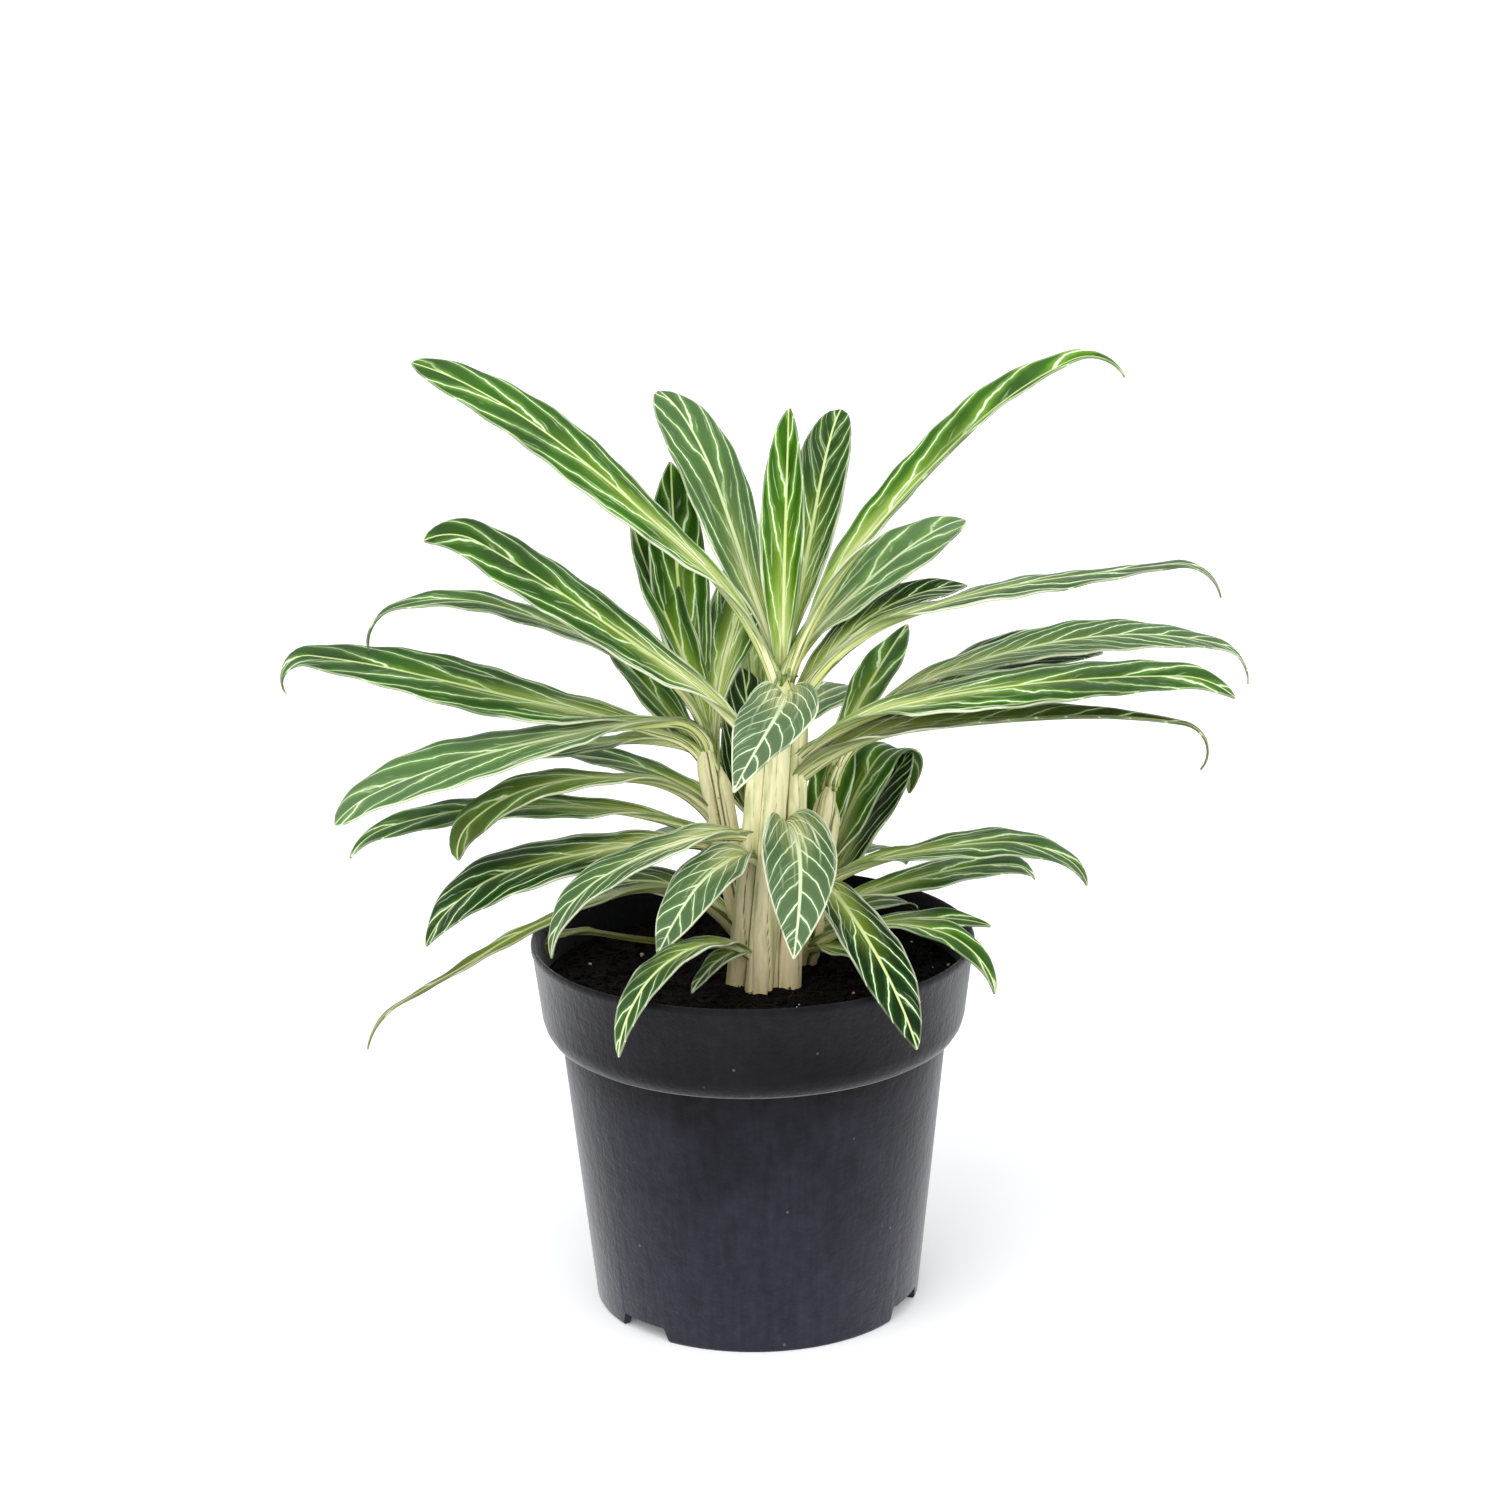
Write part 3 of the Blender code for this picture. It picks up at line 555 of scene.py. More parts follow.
# Heights, lengths and widths are in mm, turns, leans, folds and rolls in degrees, and the
# neck is a share of the length.
LEAVES = {
    "crown_1": leaf("centre", 208, 186, 171, (82, 66, 45, 41, 30, 18), 26, 0.13, 0, (26, 26), 0.6),
    "crown_2": leaf("centre", 215, 127, 113, (70, 60, 63, 57, 36, 16), 24, 0.11, 0, (0, 0), 0.65),
    "crown_3": leaf("centre", 205, 68, 101, (88, 86, 85, 84, 84, 84), 15, 0.11, 28, (0, 0), 0.8),
    "crown_4": leaf("centre", 216, 67, 98, (70, 60, 58, 62, 50, 26), 17, 0.10, 6, (0, 0), 0.6),
    "crown_5": leaf("centre", 211, 2, 168, (76, 66, 50, 43, 25, -60),
                    20, 0.15, 26, (-18, -18), 1.4),
    "crown_6": leaf("centre", 213, 38, 94, (68, 46, 32, 26, 15, 0), 22, 0.11, 6, (-10, -10), 0.7),
    "crown_7": leaf("centre", 196, 352, 171, (68, 56, 22, 9, 8, -80), 21, 0.22, -3, (0, 0), 1.2),
    "crown_8": leaf("centre", 200, 25, 85, (68, 53, 44, 19, 4, -4), 17, 0.13, 6, (-10, -10)),
    "right_1": leaf("right", 176, 12, 109, (80, 48, 25, 17, 0, -18), 25, 0.14, 8, (-14, -14), 0.7),
    "right_2": leaf("right", 183, 6, 163, (72, 38, 17, 2, -15, -90), 20, 0.14, 3, (-13, -10), 1.1),
    "right_3": leaf("centre", 179, 345, 165, (64, 39, 15, 8, 3, -40), 27, 0.13, 0, (-12, -12)),
    "right_4": leaf("centre", 170, 350, 166, (70, 40, 9, 4, -7, -130),
                    17, 0.06, 26, (-12, -12), 2.2, 0.9),
    "right_5": leaf("right", 174, 60, 74, (77, 58, 40, 29, 27, 26), 12, 0.13, 4),
    "right_6": leaf("right", 135, 350, 104, (68, 30, 14, 6, -28, -74), 21, 0.14, 2, (-5, -5)),
    "right_7": leaf("right", 124, 12, 86, (60, 28, 13, 7, -6, -66), 16, 0.13, 2, (-11, -11), 0.7),
    "right_8": leaf("right", 116, 352, 66, (52, 32, 16, 3, -6, -18), 12, 0.15, 3, (-4, -4)),
    "right_9": leaf("right", 116, 326, 87, (54, 34, 15, -4, -47, -84), 12, 0.15, 6),
    "right_10": leaf("right", 118, 25, 48, (58, 38, 26, 0, -29, -58), 13, 0.13, 6),
    "right_11": leaf("right", 117, 312, 40, (42, 22, 10, -4, -18, -30), 11, 0.13, 8),
    "right_12": leaf("right", 129, 34, 67, (58, 54, 55, 51, 44, 34), 23, 0.12, 8),
    "right_13": leaf("right", 138, 62, 60, (80, 74, 66, 62, 56, 50), 14, 0.12, 12),
    "right_14": leaf("right", 134, 43, 84, (64, 58, 62, 40, -78, -100),
                     19, 0.10, 10, (0, 0), 0.85, 0.8),
    "front_1": leaf("centre", 206, 280, 74, (56, 24, -2, -20, -38, -48),
                    23, 0.20, 4, (0, 0), 1.0, 0.65, 0.8, -50),
    "front_2": leaf("centre", 160, 296, 74, (72, 40, -16, -44, -56, -62),
                    22, 0.20, 4, (0, 0), 1.0, 0.65, 0.8, -44),
    "front_3": leaf("centre", 148, 224, 65, (84, 42, -8, -40, -50, -54),
                    20, 0.20, 5, (5, 5), 1.0, 0.75, 0.8),
    "front_4": leaf("centre", 158, 198, 94, (56, 10, -10, -26, -62, -90),
                    16, 0.14, 8, (8, 8), 0.9, 0.9),
    "front_5": leaf("right", 127, 284, 113, (84, 44, -7, -23, -40, -54),
                    17, 0.12, 4, (0, 0), 0.85, 1.3, 1.0, 12),
    "front_6": leaf("centre", 119, 232, 43, (64, 40, 14, -14, -30, -40),
                    7, 0.20, 10, (0, 0), 0.9, 1.0, 0.5),
    "left_1": leaf("left", 146, 190, 118, (74, 10, -5, -12, -46, -66), 26, 0.13, 2, (15, 15)),
    "left_2": leaf("left", 188, 193, 136, (84, 3, -6, -12, -22, -50), 28, 0.13, 2, (12, 12), 0.6),
    "left_3": leaf("left", 178, 180, 164, (80, 20, 14, 15, 8, -120), 28, 0.13, 2, (19, 12), 1.0),
    "left_4": leaf("centre", 180, 186, 149, (76, 54, 38, 37, 32, -26), 27, 0.14, 0, (25, 25), 0.7),
    "left_5": leaf("left", 172, 176, 162, (86, 80, 25, 18, -18, -100), 19, 0.18, 4, (6, 0), 1.1),
    "left_6": leaf("left", 180, 172, 107, (84, 14, -8, -2, -10, -24), 17, 0.13, 2, (6, 6)),
    "left_7": leaf("left", 155, 196, 115, (76, 50, 12, -8, -40, -100), 15, 0.22, 3, (-14, 36), 0.7),
    "left_8": leaf("left", 146, 182, 141, (80, 26, 7, -3, -18, -58), 17, 0.18, 2, (11, 11)),
    "left_9": leaf("left", 154, 158, 73, (84, 66, 24, 8, 0, -4), 15, 0.14, 6),
    "left_10": leaf("left", 118, 204, 158, (60, 44, -7, -24, -21, -80),
                    5, 0.18, 2, (0, 0), 1.0, 1.0, 0.6),
    "left_11": leaf("left", 118, 160, 73, (78, 50, 20, -7, -27, -44), 15, 0.13, 4, (12, 12)),
    "left_12": leaf("centre", 117, 236, 100, (52, 38, 14, -12, -50, -84),
                    12, 0.13, 10, (0, 0), 0.9, 1.0, 0.7),
    "left_13": leaf("left", 117, 190, 74, (40, 2, 8, 16, -10, -110),
                    5, 0.70, 12, (0, 0), 0.9, 1.0, 0.3),
    "left_14": leaf("left", 172, 150, 66, (85, 65, 47, 42, 44, 46), 17, 0.14, 8),
    "upright_1": leaf("left", 182, 118, 105, (76, 68, 66, 82, 87, 87), 20, 0.13, 8),
    "upright_2": leaf("left", 178, 140, 93, (84, 82, 65, 61, 66, 77), 16, 0.13, 20),
    "upright_3": leaf("left", 181, 75, 114, (86, 74, 38, 22, 17, 15), 20, 0.14, 8),
    "upright_4": leaf("back", 150, 128, 62, (86, 86, 86, 84, 80, 74),
                      25, 0.08, 4, (0, 0), 0.8, 0.9),
    "back_1": leaf("back", 178, 92, 112, (80, 56, 28, 12, -12, -34), 25),
    "back_2": leaf("back", 166, 64, 108, (78, 40, 12, -4, -26, -50), 24),
    "back_3": leaf("back", 164, 112, 108, (80, 48, 14, -6, -28, -50), 24),
    "back_4": leaf("back", 138, 80, 96, (72, 22, 2, -14, -30, -46), 22),
    "back_5": leaf("back", 134, 128, 88, (70, 22, 0, -14, -30, -44), 20),
    "back_6": leaf("back", 128, 48, 84, (70, 24, 2, -12, -30, -46), 20),
}


def midrib(own, shares):
    """Points of a leaf's midrib, its lean and its turn there."""
    fine = np.linspace(0, 1, MIDRIB_STEPS + 1)
    lean = np.radians(np.interp(fine, LEAN_SHARES, own["leans"]))
    turn = np.radians(own["turn"] + own["veer"] * fine)
    way = np.stack([np.cos(lean) * np.cos(turn), np.cos(lean) * np.sin(turn), np.sin(lean)], 1)
    steps = (way[1:] + way[:-1]) / 2 * own["length"] / MIDRIB_STEPS
    foot = axis_point(own["shoot"], own["height"])
    foot = foot + FOOT_OUT * np.array([cos(turn[0]), sin(turn[0]), 0])
    points = np.vstack([np.zeros(3), np.cumsum(steps, 0)]) + foot
    placed = np.stack([np.interp(shares, fine, points[:, i]) for i in range(3)], 1)
    return placed, np.interp(shares, fine, lean), np.interp(shares, fine, turn)


def lance(t, rise, tip):
    """A lance shape from 0 to 1 and back, with its own slenderness at the base and tip."""
    peak = rise / (rise + tip)
    high = peak ** rise * (1 - peak) ** tip
    return np.clip(t, 0, 1) ** rise * np.clip(1 - t, 0, 1) ** tip / high


def half_section(across, near, far):
    """Sideways run and rise of a half section whose slope goes from near to far."""
    change = np.where(np.abs(far - near) < 1e-4, 1e-4, far - near)
    slope = near + change * across
    return (np.sin(slope) - np.sin(near)) / change, -(np.cos(slope) - np.cos(near)) / change


# %% [markdown]
# The veins decide how the leaf reads. Each side vein leaves the midrib at a low angle and
# then runs along beside the margin. For every point of the blade, the place on the midrib
# that its vein started from is a smooth number, kept as an attribute. It gains one from each
# vein to the next, so the material can draw lines and the mesh can quilt itself in step.

# %% How each leaf looks
# Brightness, greyness, vein angle in degrees, and vein spacing along the midrib in mm.
GROUP_LOOKS = {
    "crown": (0.72, 0.06, 17, 36.0),
    "right": (0.50, 0.06, 20, 32.0),
    "front": (0.16, 0.55, 44, 8.5),
    "left": (0.55, 0.08, 19, 34.0),
    "upright": (0.45, 0.02, 17, 32.0),
    "back": (0.45, 0.12, 20, 32.0),
}
OWN_LOOKS = {
    "crown_2": (0.60, 0.40, 17, 28.0),
    "crown_3": (0.85, 0.00, 15, 28.0),
    "crown_4": (0.45, 0.05, 24, 13.0),
    "crown_6": (0.90, 0.58, 20, 30.0),
    "crown_7": (0.35, 0.15, 19, 28.0),
    "crown_8": (0.15, 0.05, 24, 12.0),
    "right_1": (0.15, 0.05, 24, 12.0),
    "right_2": (0.35, 0.40, 28, 12.0),
    "right_3": (0.55, 0.03, 20, 32.0),
    "right_4": (0.10, 0.05, 22, 16.0),
    "right_12": (0.05, 0.00, 26, 13.0),
    "left_1": (0.10, 0.03, 22, 22.0),
    "left_2": (0.80, 0.55, 19, 32.0),
    "upright_4": (0.05, 0.00, 24, 13.0),
    "front_1": (0.16, 0.70, 44, 8.5),
    "front_4": (0.25, 0.45, 26, 12.0),
    "front_5": (0.05, 0.00, 24, 15.0),
    "front_6": (0.10, 0.30, 28, 10.0),
    "left_11": (0.15, 0.10, 22, 14.0),
    "left_12": (0.20, 0.15, 22, 12.0),
}
DRY = {"left_7": 0.25, "left_10": 0.45, "left_13": 0.8, "right_4": 0.25}

# In mm, apart from the number of columns of points across a blade.
STATION_STEP = 2.1
COLUMNS = 19
GROOVE = 0.35
GROOVE_WIDTH = 1.1
KEEL = 0.5
KEEL_WIDTH = 1.4
QUILT = 0.16
EDGE_RIPPLE = 0.35
RIPPLE_LENGTH = 17.0


def leaf_sheet(own, phase, look):
    """The leaf's two faces as grids of points, and what the material needs at each."""
    shares = np.linspace(0, 1, int(np.clip(own["length"] / STATION_STEP, 24, 80)))
    across = np.linspace(-1, 1, COLUMNS)
    neck = own["neck"]
    t = np.clip((shares - neck) / (1 - neck), 0, 1)[:, None]
    v = across[None, :]
    places, lean, turn = midrib(own, shares)
    bloom = lance(t, own["rise"], own["tip"])
    slim = own["slim"]
    foot_half = STALK_FOOT[own["shoot"]]
    on_stalk = foot_half + (STALK_NECK - foot_half) * shares[:, None] / neck
    on_blade = STALK_NECK * (1 - t) + TIP_HALF_WIDTH * t
    half = np.where(shares[:, None] < neck, on_stalk, on_blade) * slim + own["width"] / 2 * bloom
    # The stalk's channel opens out over the first quarter of the blade.
    opening = np.clip(t / 0.25, 0, 1)
    slope = np.radians(STALK_FOLD * (1 - opening) + own["fold"] * opening)
    curl = radians(BLADE_CURL) * opening
    roll = np.radians(own["roll"][0] + (own["roll"][1] - own["roll"][0]) * t) * opening
    ahead = np.stack([np.cos(lean) * np.cos(turn), np.cos(lean) * np.sin(turn), np.sin(lean)], 1)
    side = np.stack([np.sin(turn), -np.cos(turn), np.zeros_like(turn)], 1)
    up = np.cross(side, ahead)
    side, up = (side * np.cos(roll) + up * np.sin(roll), up * np.cos(roll) - side * np.sin(roll))

    # The vein number of each point, counted from the neck.
    angle, spacing = radians(look[2]), look[3]
    run_mm = (shares[:, None] - neck) * own["length"]
    from_rib = np.abs(v) * half
    swept = from_rib / np.tan(angle) + 0.55 * half * np.abs(v) ** 4 / np.tan(angle)
    # Veins lie flatter towards the stalk, where they run almost along the blade.
    swept = swept * (1.5 - 0.6 * t)
    vein = (run_mm - swept) / spacing

    run, rise = half_section(np.abs(v), slope + curl, slope - curl)
    wave = WAVE_HEIGHT * np.sin(tau * WAVE_COUNT * t + phase + 1 + np.sign(v)) * v * v * bloom
    ripple = np.sin(tau * run_mm / RIPPLE_LENGTH + 3 * phase + 2 * np.sign(v))
    ripple = EDGE_RIPPLE * ripple * np.abs(v) ** 3 * bloom
    quilt = QUILT * np.cos(tau * vein) * np.clip(bloom, 0, 1) * 4 * np.abs(v) * (1 - np.abs(v))
    groove = GROOVE * np.exp(-(from_rib / GROOVE_WIDTH) ** 2) * (1 - 0.7 * t) * opening
    stout = STALK_THICK * slim ** 0.5
    middle = stout + (MIDRIB_THICK - stout) * np.clip(shares[:, None] / neck, 0, 1)
    middle = middle * (1 - t) + EDGE_THICK * t
    edge = EDGE_THICK + 0.5 * np.clip(1 - shares[:, None] / neck, 0, 1)
    thick = middle + (edge - middle) * np.clip(np.abs(v) * 1.6, 0, 1)
    lift = half * rise + wave + ripple + quilt - groove + thick / 2
    top = places[:, None] + side[:, None] * (np.sign(v) * half * run)[..., None]
    top = top + up[:, None] * lift[..., None]
    normal = np.cross(np.gradient(top, axis=1), np.gradient(top, axis=0))
    normal /= np.linalg.norm(normal, axis=2)[..., None] + 1e-9
    if np.sum(normal * up[:, None]) < 0:
        normal = -normal
    keel = KEEL * np.exp(-(from_rib / KEEL_WIDTH) ** 2) * (1 - t)
    under = top - normal * (thick * 0.85 + keel)[..., None]

    flat = np.broadcast_to
    shape = top.shape[:2]
    stage_of_leaf = np.where(shares[:, None] < neck, shares[:, None] / neck - 1, t)
    facts = {
        "vein": vein, "side": flat(v, shape), "run": flat(stage_of_leaf, shape),
        "rib": from_rib, "edge": half - from_rib,
    }
    spot = np.stack([flat(run_mm, shape), v * half, np.full(shape, phase * 20)], 2)
    return top, under, facts, spot


def leaf_mesh(name, own, number):
    """One leaf as a closed skin, with its attributes."""
    look = OWN_LOOKS.get(name, GROUP_LOOKS[name.split("_")[0]])
    full_name = "leaf_" + name
    top, under, facts, spot = leaf_sheet(own, PHASE_STEP * number, look)
    rows, cols = top.shape[:2]
    count = rows * cols
    grid = np.arange(count).reshape(rows, cols)
    faces = []
    for i in range(rows - 1):
        for j in range(cols - 1):
            a, b, c, d = grid[i, j], grid[i, j + 1], grid[i + 1, j + 1], grid[i + 1, j]
            faces.append((a, b, c, d))
            faces.append((d + count, c + count, b + count, a + count))
    rim = [*grid[0, :], *grid[1:, -1], *grid[-1, -2::-1], *grid[-2:0:-1, 0]]
    for a, b in zip(rim, rim[1:] + rim[:1]):
        faces.append((b, a, a + count, b + count))
    points = np.concatenate([top.reshape(-1, 3), under.reshape(-1, 3)])
    faces = [tuple(int(k) for k in face) for face in faces]
    made = piece(full_name + "_blade", points, faces, full_name, "leaves")
    for key, values in facts.items():
        set_attribute(made.data, key, np.concatenate([values.ravel(), values.ravel()]))
    set_attribute(made.data, "spot", np.concatenate([spot.reshape(-1, 3)] * 2), "FLOAT_VECTOR")
    set_attribute(made.data, "under", np.repeat([0.0, 1.0], count))
    shade = float(np.clip(look[0] + chance.uniform(-0.08, 0.08), 0, 1))
    for key, value in (("bright", shade), ("grey", look[1]), ("dry", DRY.get(name, 0.0))):
        set_attribute(made.data, key, np.full(count * 2, value))
    return made


leaves = [leaf_mesh(name, own, number) for number, (name, own) in enumerate(LEAVES.items())]
print("Leaves:", len(leaves), "with", sum(len(obj.data.polygons) for obj in leaves), "faces")

# %% [markdown]
# The blade's finish is built as a grower would describe it. Deep green lies between the
# veins, paler green beside them, and each vein is a thin line of cream green that fades in
# places. The midrib is widest at the neck, a hair-thin cream margin rims the blade, and the
# stalk pales to cream. Wax gives the top a soft shine, and the underside is duller.

# %% Leaf: where the veins run
leaf_skin, shader = new_material("waxy_variegated_leaf", {
    "IOR": 1.45, "Specular IOR Level": 0.14, "Coat Weight": 0.02, "Coat Roughness": 0.25})
tree = leaf_skin.node_tree


def from_line(tree, value):
    """How far a number lies from the nearest line. Lines are halfway between whole numbers."""
    past = add(tree, "Math", {"operation": "FRACT"}, {0: value})
    centred = add(tree, "Math", {"operation": "SUBTRACT"}, {0: past, 1: 0.5})
    return add(tree, "Math", {"operation": "ABSOLUTE"}, {0: centred})


spot = add(tree, "Attribute", {"attribute_name": "spot"}, out=1)
vein, side, run, rib, edge, under, bright, grey, dry = (
    add(tree, "Attribute", {"attribute_name": name}, out=2)
    for name in ("vein", "side", "run", "rib", "edge", "under", "bright", "grey", "dry"))
# The spot is in mm, so a noise scale is one over its grain: 9 mm wavers, 22 mm patches.
waver = add(tree, "TexNoise", links={0: spot, "Scale": 1 / 9, "Detail": 3})
patches = add(tree, "TexNoise", links={0: spot, "Scale": 1 / 22, "Detail": 3})
# The veins of the two sides leave the midrib at different places.
other_side = add(tree, "Math", {"operation": "GREATER_THAN"}, {0: side, 1: 0})
offset = add(tree, "Math", TIMES_PLUS, {0: other_side, 1: 0.43, 2: vein})
apart = from_line(tree, add(tree, "Math", TIMES_PLUS, {0: waver, 1: 0.6, 2: offset}))
# A vein takes a tenth of its spacing along the midrib, so it is 0.5 to 1 mm wide across
# itself. Veins fade in patches.
line = add(tree, "MapRange", SMOOTH, {0: apart, 1: 0.024, 2: 0.072, 3: 1, 4: 0})
power = add(tree, "MapRange", links={0: patches, 1: 0.36, 2: 0.50, 3: 0.35, 4: 1})
main_veins = add(tree, "Math", TIMES, {0: line, 1: power})

# %% Leaf: long lines beside the margin
# Two or three pale lines a side run the length of the lower blade, as the margin does.
share = add(tree, "Math", {"operation": "ABSOLUTE"}, {0: side})
swaying = add(tree, "Math", TIMES_PLUS, {0: waver, 1: 0.5, 2: -0.2})
along_apart = from_line(tree, add(tree, "Math", TIMES_PLUS, {0: share, 1: 2.7, 2: swaying}))
along_line = add(tree, "MapRange", SMOOTH, {0: along_apart, 1: 0.03, 2: 0.11, 3: 1, 4: 0})
strip = add(tree, "Mapping", links={0: spot, "Scale": (0.25, 1, 1)})
streaky = add(tree, "TexNoise", links={0: strip, "Scale": 1 / 7, "Detail": 2})
along_kept = add(tree, "MapRange", links={0: streaky, 1: 0.46, 2: 0.60, 3: 0, 4: 0.9})
along_early = add(tree, "MapRange", links={0: run, 1: 0.30, 2: 0.62, 3: 1, 4: 0})
along_power = add(tree, "Math", TIMES, {0: along_kept, 1: along_early})
long_veins = add(tree, "Math", TIMES, {0: along_line, 1: along_power})

# %% Leaf: fine veins between the main ones
skewed = add(tree, "Math", TIMES_PLUS, {0: rib, 1: 0.10, 2: waver})
fine_apart = from_line(tree, add(tree, "Math", TIMES_PLUS, {0: offset, 1: 2.6, 2: skewed}))
fine_line = add(tree, "MapRange", SMOOTH, {0: fine_apart, 1: 0.03, 2: 0.11, 3: 0.3, 4: 0})
sparse = add(tree, "TexNoise", links={0: spot, "Scale": 1 / 12, "Detail": 2})
kept = add(tree, "MapRange", links={0: sparse, 1: 0.55, 2: 0.66, 3: 0, 4: 1})
fine_veins = add(tree, "Math", TIMES, {0: fine_line, 1: kept})
veins = add(tree, "Math", {"operation": "MAXIMUM"}, {0: main_veins, 1: fine_veins})
veins = add(tree, "Math", {"operation": "MAXIMUM"}, {0: veins, 1: long_veins})

# %% Leaf: the greens
beside = add(tree, "MapRange", SMOOTH, {0: apart, 1: 0.05, 2: 0.34, 3: 1, 4: 0})
deep = add(tree, "Mix", COLOURED, {0: beside, 6: linear("#0e2a04"), 7: linear("#2a5a12")}, out=2)
fresh = add(tree, "Mix", COLOURED, {0: beside, 6: linear("#3a7008"), 7: linear("#74ab28")}, out=2)
green = add(tree, "Mix", COLOURED, {0: bright, 6: deep, 7: fresh}, out=2)
lit = add(tree, "MapRange", links={0: patches, 1: 0.3, 2: 0.7, 3: 0.5, 4: 1.12})
green = add(tree, "HueSaturation", links={"Value": lit, "Color": green})
bloomed = add(tree, "Math", TIMES, {0: grey, 1: 0.62})
green = add(tree, "Mix", COLOURED, {0: bloomed, 6: green, 7: linear("#7f9a70")}, out=2)

# %% Leaf: the glow by the midrib, the veins and the margin
close = add(tree, "MapRange", SMOOTH, {0: rib, 1: 0.5, 2: 7.5, 3: 0.85, 4: 0})
fades_by = add(tree, "Math", TIMES_PLUS, {0: grey, 1: -1.4, 2: 1})
early = add(tree, "MapRange", links={0: run, 1: 0.1, 2: 0.7, 3: fades_by, 4: 0})
glow = add(tree, "Math", TIMES, {0: close, 1: early})
faded = add(tree, "Math", TIMES, {0: veins, 1: 0.95})
# The midrib shows about 2 mm wide at the neck and 0.5 mm at the tip.
rib_width = add(tree, "MapRange", links={0: run, 1: 0, 2: 1, 3: 1.2, 4: 0.35})
rib_share = add(tree, "Math", {"operation": "DIVIDE"}, {0: rib, 1: rib_width})
on_rib = add(tree, "MapRange", SMOOTH, {0: rib_share, 1: 0.45, 2: 1.1, 3: 0.9, 4: 0})
rib_tint = add(tree, "Mix", COLOURED, {0: grey, 6: linear("#dcea9c"), 7: linear("#dfeed0")}, out=2)
on_edge = add(tree, "MapRange", SMOOTH, {0: edge, 1: 0.25, 2: 0.75, 3: 0.85, 4: 0})
edge_kept = add(tree, "MapRange", links={0: streaky, 1: 0.40, 2: 0.50, 3: 0.25, 4: 1})
# The cream margin fades towards the tip, but not on the greyed leaves at the front.
edge_fades = add(tree, "MapRange", links={0: run, 1: 0.4, 2: 0.85, 3: 1, 4: 0.35})
grey_edge = add(tree, "Math", TIMES, {0: grey, 1: 1.7})
edge_power = add(tree, "Math", {"operation": "MAXIMUM"}, {0: edge_fades, 1: grey_edge})
edge_kept = add(tree, "Math", TIMES, {0: edge_kept, 1: edge_power})
edged = add(tree, "Math", TIMES, {0: on_edge, 1: edge_kept})
duller = add(tree, "Math", TIMES, {0: under, 1: 0.45})
blade = layered(tree, green, (glow, "#a4c636"), (faded, "#e9f6d2"), (on_rib, rib_tint),
                (edged, "#eff5d2"), (duller, "#5b7444"))

# %% Leaf: the stalk and dry tissue
long_grain = add(tree, "Mapping", links={0: spot, "Scale": (0.02, 1, 1)})
strands = add(tree, "TexNoise", links={0: long_grain, "Scale": 1.1, "Detail": 3})
strand_share = add(tree, "MapRange", links={0: strands, 1: 0.38, 2: 0.66})
# Thin dark green lines run up the stalk between the strands.
strand_off = add(tree, "Math", {"operation": "SUBTRACT"}, {0: strands, 1: 0.53})
strand_gap = add(tree, "Math", {"operation": "ABSOLUTE"}, {0: strand_off})
strand_line = add(tree, "MapRange", SMOOTH, {0: strand_gap, 1: 0.01, 2: 0.055, 3: 0.9, 4: 0})
# The wings of the stalk turn greener and end in a darker line about 0.5 mm wide.
winging = add(tree, "MapRange", SMOOTH, {0: share, 1: 0.55, 2: 0.95, 3: 0, 4: 0.3})
winged = add(tree, "MapRange", SMOOTH, {0: edge, 1: 0.3, 2: 0.7, 3: 0.7, 4: 0})
pale = layered(tree, linear("#f4edc4"), (strand_share, "#ced681"), (strand_line, "#42661a"),
               (winging, "#5f8c22"), (winged, "#55702a"))
# The wings turn to green blade before the middle of the stalk does.
turning = add(tree, "Math", TIMES_PLUS, {0: share, 1: 0.3, 2: run})
stalked = add(tree, "MapRange", SMOOTH, {0: turning, 1: -0.12, 2: 0.58, 3: 1, 4: 0})
whole = layered(tree, blade, (stalked, pale), (dry, "#6f6c3c"))

# %% Leaf: shine and relief
wax = add(tree, "TexNoise", links={0: spot, "Scale": 1 / 5, "Detail": 2})
shine = add(tree, "MapRange", links={0: wax, 1: 0.3, 2: 0.7, 3: 0.34, 4: 0.5})
dulled = add(tree, "Math", TIMES_PLUS, {0: duller, 1: 0.4, 2: shine})
# Leaf cells are far finer than a pixel, so their grain is drawn 0.6 mm wide.
cells = add(tree, "TexNoise", links={0: spot, "Scale": 1 / 0.6, "Detail": 1})
swell = add(tree, "Math", TIMES_PLUS, {0: beside, 1: -0.5, 2: cells})
sunk = add(tree, "Math", TIMES_PLUS, {0: veins, 1: -0.8, 2: swell})
relief = add(tree, "Bump", links={"Strength": 0.5, "Distance": 0.25 * MM, "Height": sunk})
feed(shader, {"Base Color": whole, "Roughness": dulled, "Normal": relief})
for obj in leaves:
    obj.data.materials.append(leaf_skin)
print("Leaf material:", len(tree.nodes), "nodes")

# %% [markdown]
# Potting peat is a crumbly, nearly black fibre mix. The plain fill becomes a bumpy bed that
# keeps its level, strewn with loose crumbs, bent brown fibres and a few white grains of
# perlite. They are real meshes, since light catches each of them, and each kind is joined
# into one piece to keep the scene light.

# %% The bed of peat
BED_RADIUS = 71.0
BED_TURNS = 180
# Rings of the fill below its surface: radius and height down the inside of the pot.
FILL_RINGS = ((70.9, 111.5), (69.6, 101.9), (67.8, 97.9), (64.6, 95.2), (63.5, 92.6),
              (54.1, 7.8), (52.4, 6.2), (0.1, 6.2))
# Height and width in mm of the bed's lumps, and where each kind is read from the noise.
LUMPS = ((1.1, 9, 3), (0.6, 3.2, 8), (0.3, 1.4, 5))


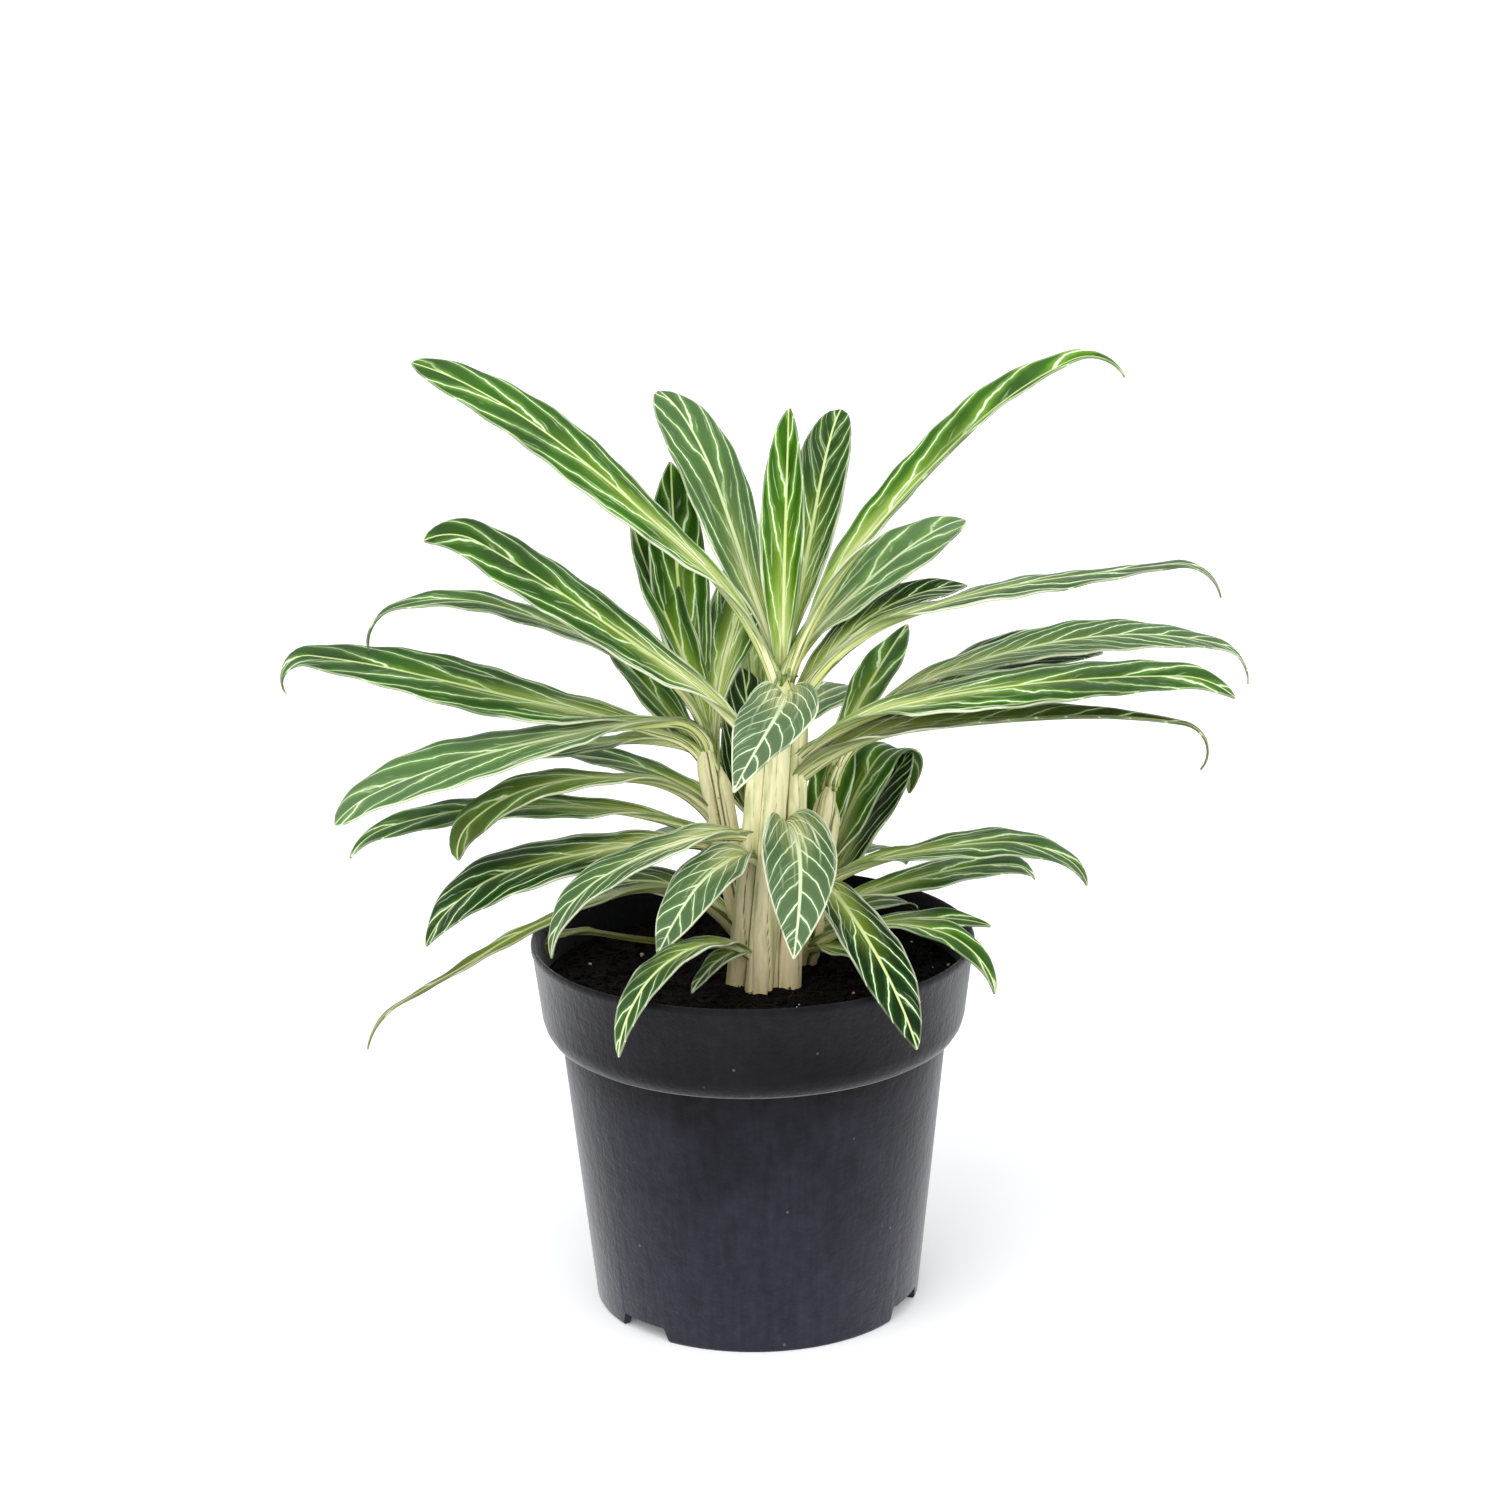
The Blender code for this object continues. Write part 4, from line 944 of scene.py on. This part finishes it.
def bed_height(x, y):
    """The height of the peat's surface in mm, which dips and smooths out at the wall."""
    out = (x * x + y * y) ** 0.5 / BED_RADIUS
    lumps = sum(high * noise.noise(Vector((x / wide, y / wide, at))) for high, wide, at in LUMPS)
    return SOIL_TOP - 0.3 - 0.8 * max(0, out - 0.8) * 5 + lumps * min(1, (1.02 - out) * 8)


radii = np.concatenate([[0.5], np.linspace(1.8, BED_RADIUS, 58)])
ways = [(cos(turn), sin(turn)) for turn in np.linspace(0, tau, BED_TURNS, endpoint=False)]
points = [(r * x, r * y, bed_height(r * x, r * y)) for r in radii for x, y in ways]
points += [(r * x, r * y, z) for r, z in FILL_RINGS for x, y in ways]
faces = tube_faces(len(radii) + len(FILL_RINGS), BED_TURNS, flipped=True)
bed = piece("peat_bed", points, faces, "soil", "soil")
print("Peat bed:", len(faces), "faces")


# %% Crumbs and perlite
def lump_shape():
    """The corners and faces of a small ball."""
    bm = bmesh.new()
    bmesh.ops.create_icosphere(bm, subdivisions=1, radius=1)
    corners = np.array([v.co for v in bm.verts])
    faces = [tuple(v.index for v in f.verts) for f in bm.faces]
    bm.free()
    return corners, faces


# How far from the pot's middle crumbs and fibres may lie.
CRUMB_SPREAD = 68.0
FIBRE_SPREAD = 64.0


def on_bed(spread):
    """A random place on the peat, clear of the pot's wall."""
    radius = spread * chance.uniform(0, 1) ** 0.5
    turn = chance.uniform(0, tau)
    x, y = radius * cos(turn), radius * sin(turn)
    return np.array([x, y, bed_height(x, y)])


def strewn(name, count, small, large, sink):
    """Many rough lumps on the peat, as one piece."""
    corners, faces = lump_shape()
    points = []
    all_faces = []
    for i in range(count):
        size = small + (large - small) * chance.uniform(0, 1) ** 3
        rough = corners * chance.uniform(0.65, 1.2, (len(corners), 1))
        rough = rough * chance.uniform(0.6, 1.15, 3) * size
        points.append(rough + on_bed(CRUMB_SPREAD) + (0, 0, size * sink))
        all_faces += [tuple(k + i * len(corners) for k in f) for f in faces]
    made = piece(name, np.concatenate(points), all_faces, slot="soil")
    made.data.shade_flat()
    return made


crumbs = strewn("peat_crumbs", 1500, 0.5, 2.1, 0.15)
perlite = strewn("perlite_grains", 26, 0.5, 1.2, 0.35)
print("Crumbs:", len(crumbs.data.polygons), "faces, perlite:", len(perlite.data.polygons))

# %% Brown fibres
FIBRE_COUNT = 190
FIBRE_STEPS = 7

points = []
faces = []
for number in range(FIBRE_COUNT):
    at = on_bed(FIBRE_SPREAD)
    heading = chance.uniform(0, tau)
    bend = chance.uniform(-0.35, 0.35)
    step = chance.uniform(0.8, 2.4)
    radius = chance.uniform(0.10, 0.22)
    for i in range(FIBRE_STEPS):
        level = bed_height(at[0], at[1]) + 0.25 + 0.5 * sin(pi * i / (FIBRE_STEPS - 1))
        base = len(points)
        for turn in (0, tau / 3, 2 * tau / 3):
            out = radius * cos(turn)
            points.append((at[0] - out * sin(heading), at[1] + out * cos(heading),
                           level + radius * sin(turn)))
        if i:
            for j in range(3):
                k = (j + 1) % 3
                faces.append((base - 3 + j, base - 3 + k, base + k, base + j))
        at = at + step * np.array([cos(heading), sin(heading), 0])
        if np.hypot(at[0], at[1]) > CRUMB_SPREAD:
            heading += pi / 2
        heading += bend
fibres = piece("peat_fibres", points, faces, slot="soil")
print("Fibres:", len(faces), "faces")

# %% Damp peat, fibre and perlite
PEATS = {
    "damp_peat": (bed, "#050404", "#0f0b08", 650, 0.9),
    "crumbled_peat": (crumbs, "#060404", "#1c140e", 500, 0.92),
    "coir_fibre": (fibres, "#241812", "#4a3324", 400, 0.85),
    "expanded_perlite": (perlite, "#b9b4a8", "#eeebe2", 900, 0.8),
}
for name, (obj, dark, light, scale, dullness) in PEATS.items():
    made, shader = new_material(name, {"Specular IOR Level": 0.08})
    tree = made.node_tree
    place = add(tree, "TexCoord", out=3)
    # A noise scale is one over its grain in metres: 650 gives 1.5 mm, as in sifted peat.
    grain = add(tree, "TexNoise", links={0: place, "Scale": scale, "Detail": 5, "Roughness": 0.7})
    share = add(tree, "MapRange", links={0: grain, 1: 0.35, 2: 0.72})
    mixed = add(tree, "Mix", COLOURED, {0: share, 6: linear(dark), 7: linear(light)}, out=2)
    damp = add(tree, "MapRange", links={0: grain, 1: 0.3, 2: 0.7, 3: dullness - 0.25, 4: dullness})
    relief = add(tree, "Bump", links={"Strength": 0.8, "Distance": 0.5 * MM, "Height": grain})
    feed(shader, {"Base Color": mixed, "Roughness": damp, "Normal": relief})
    obj.data.materials.append(made)
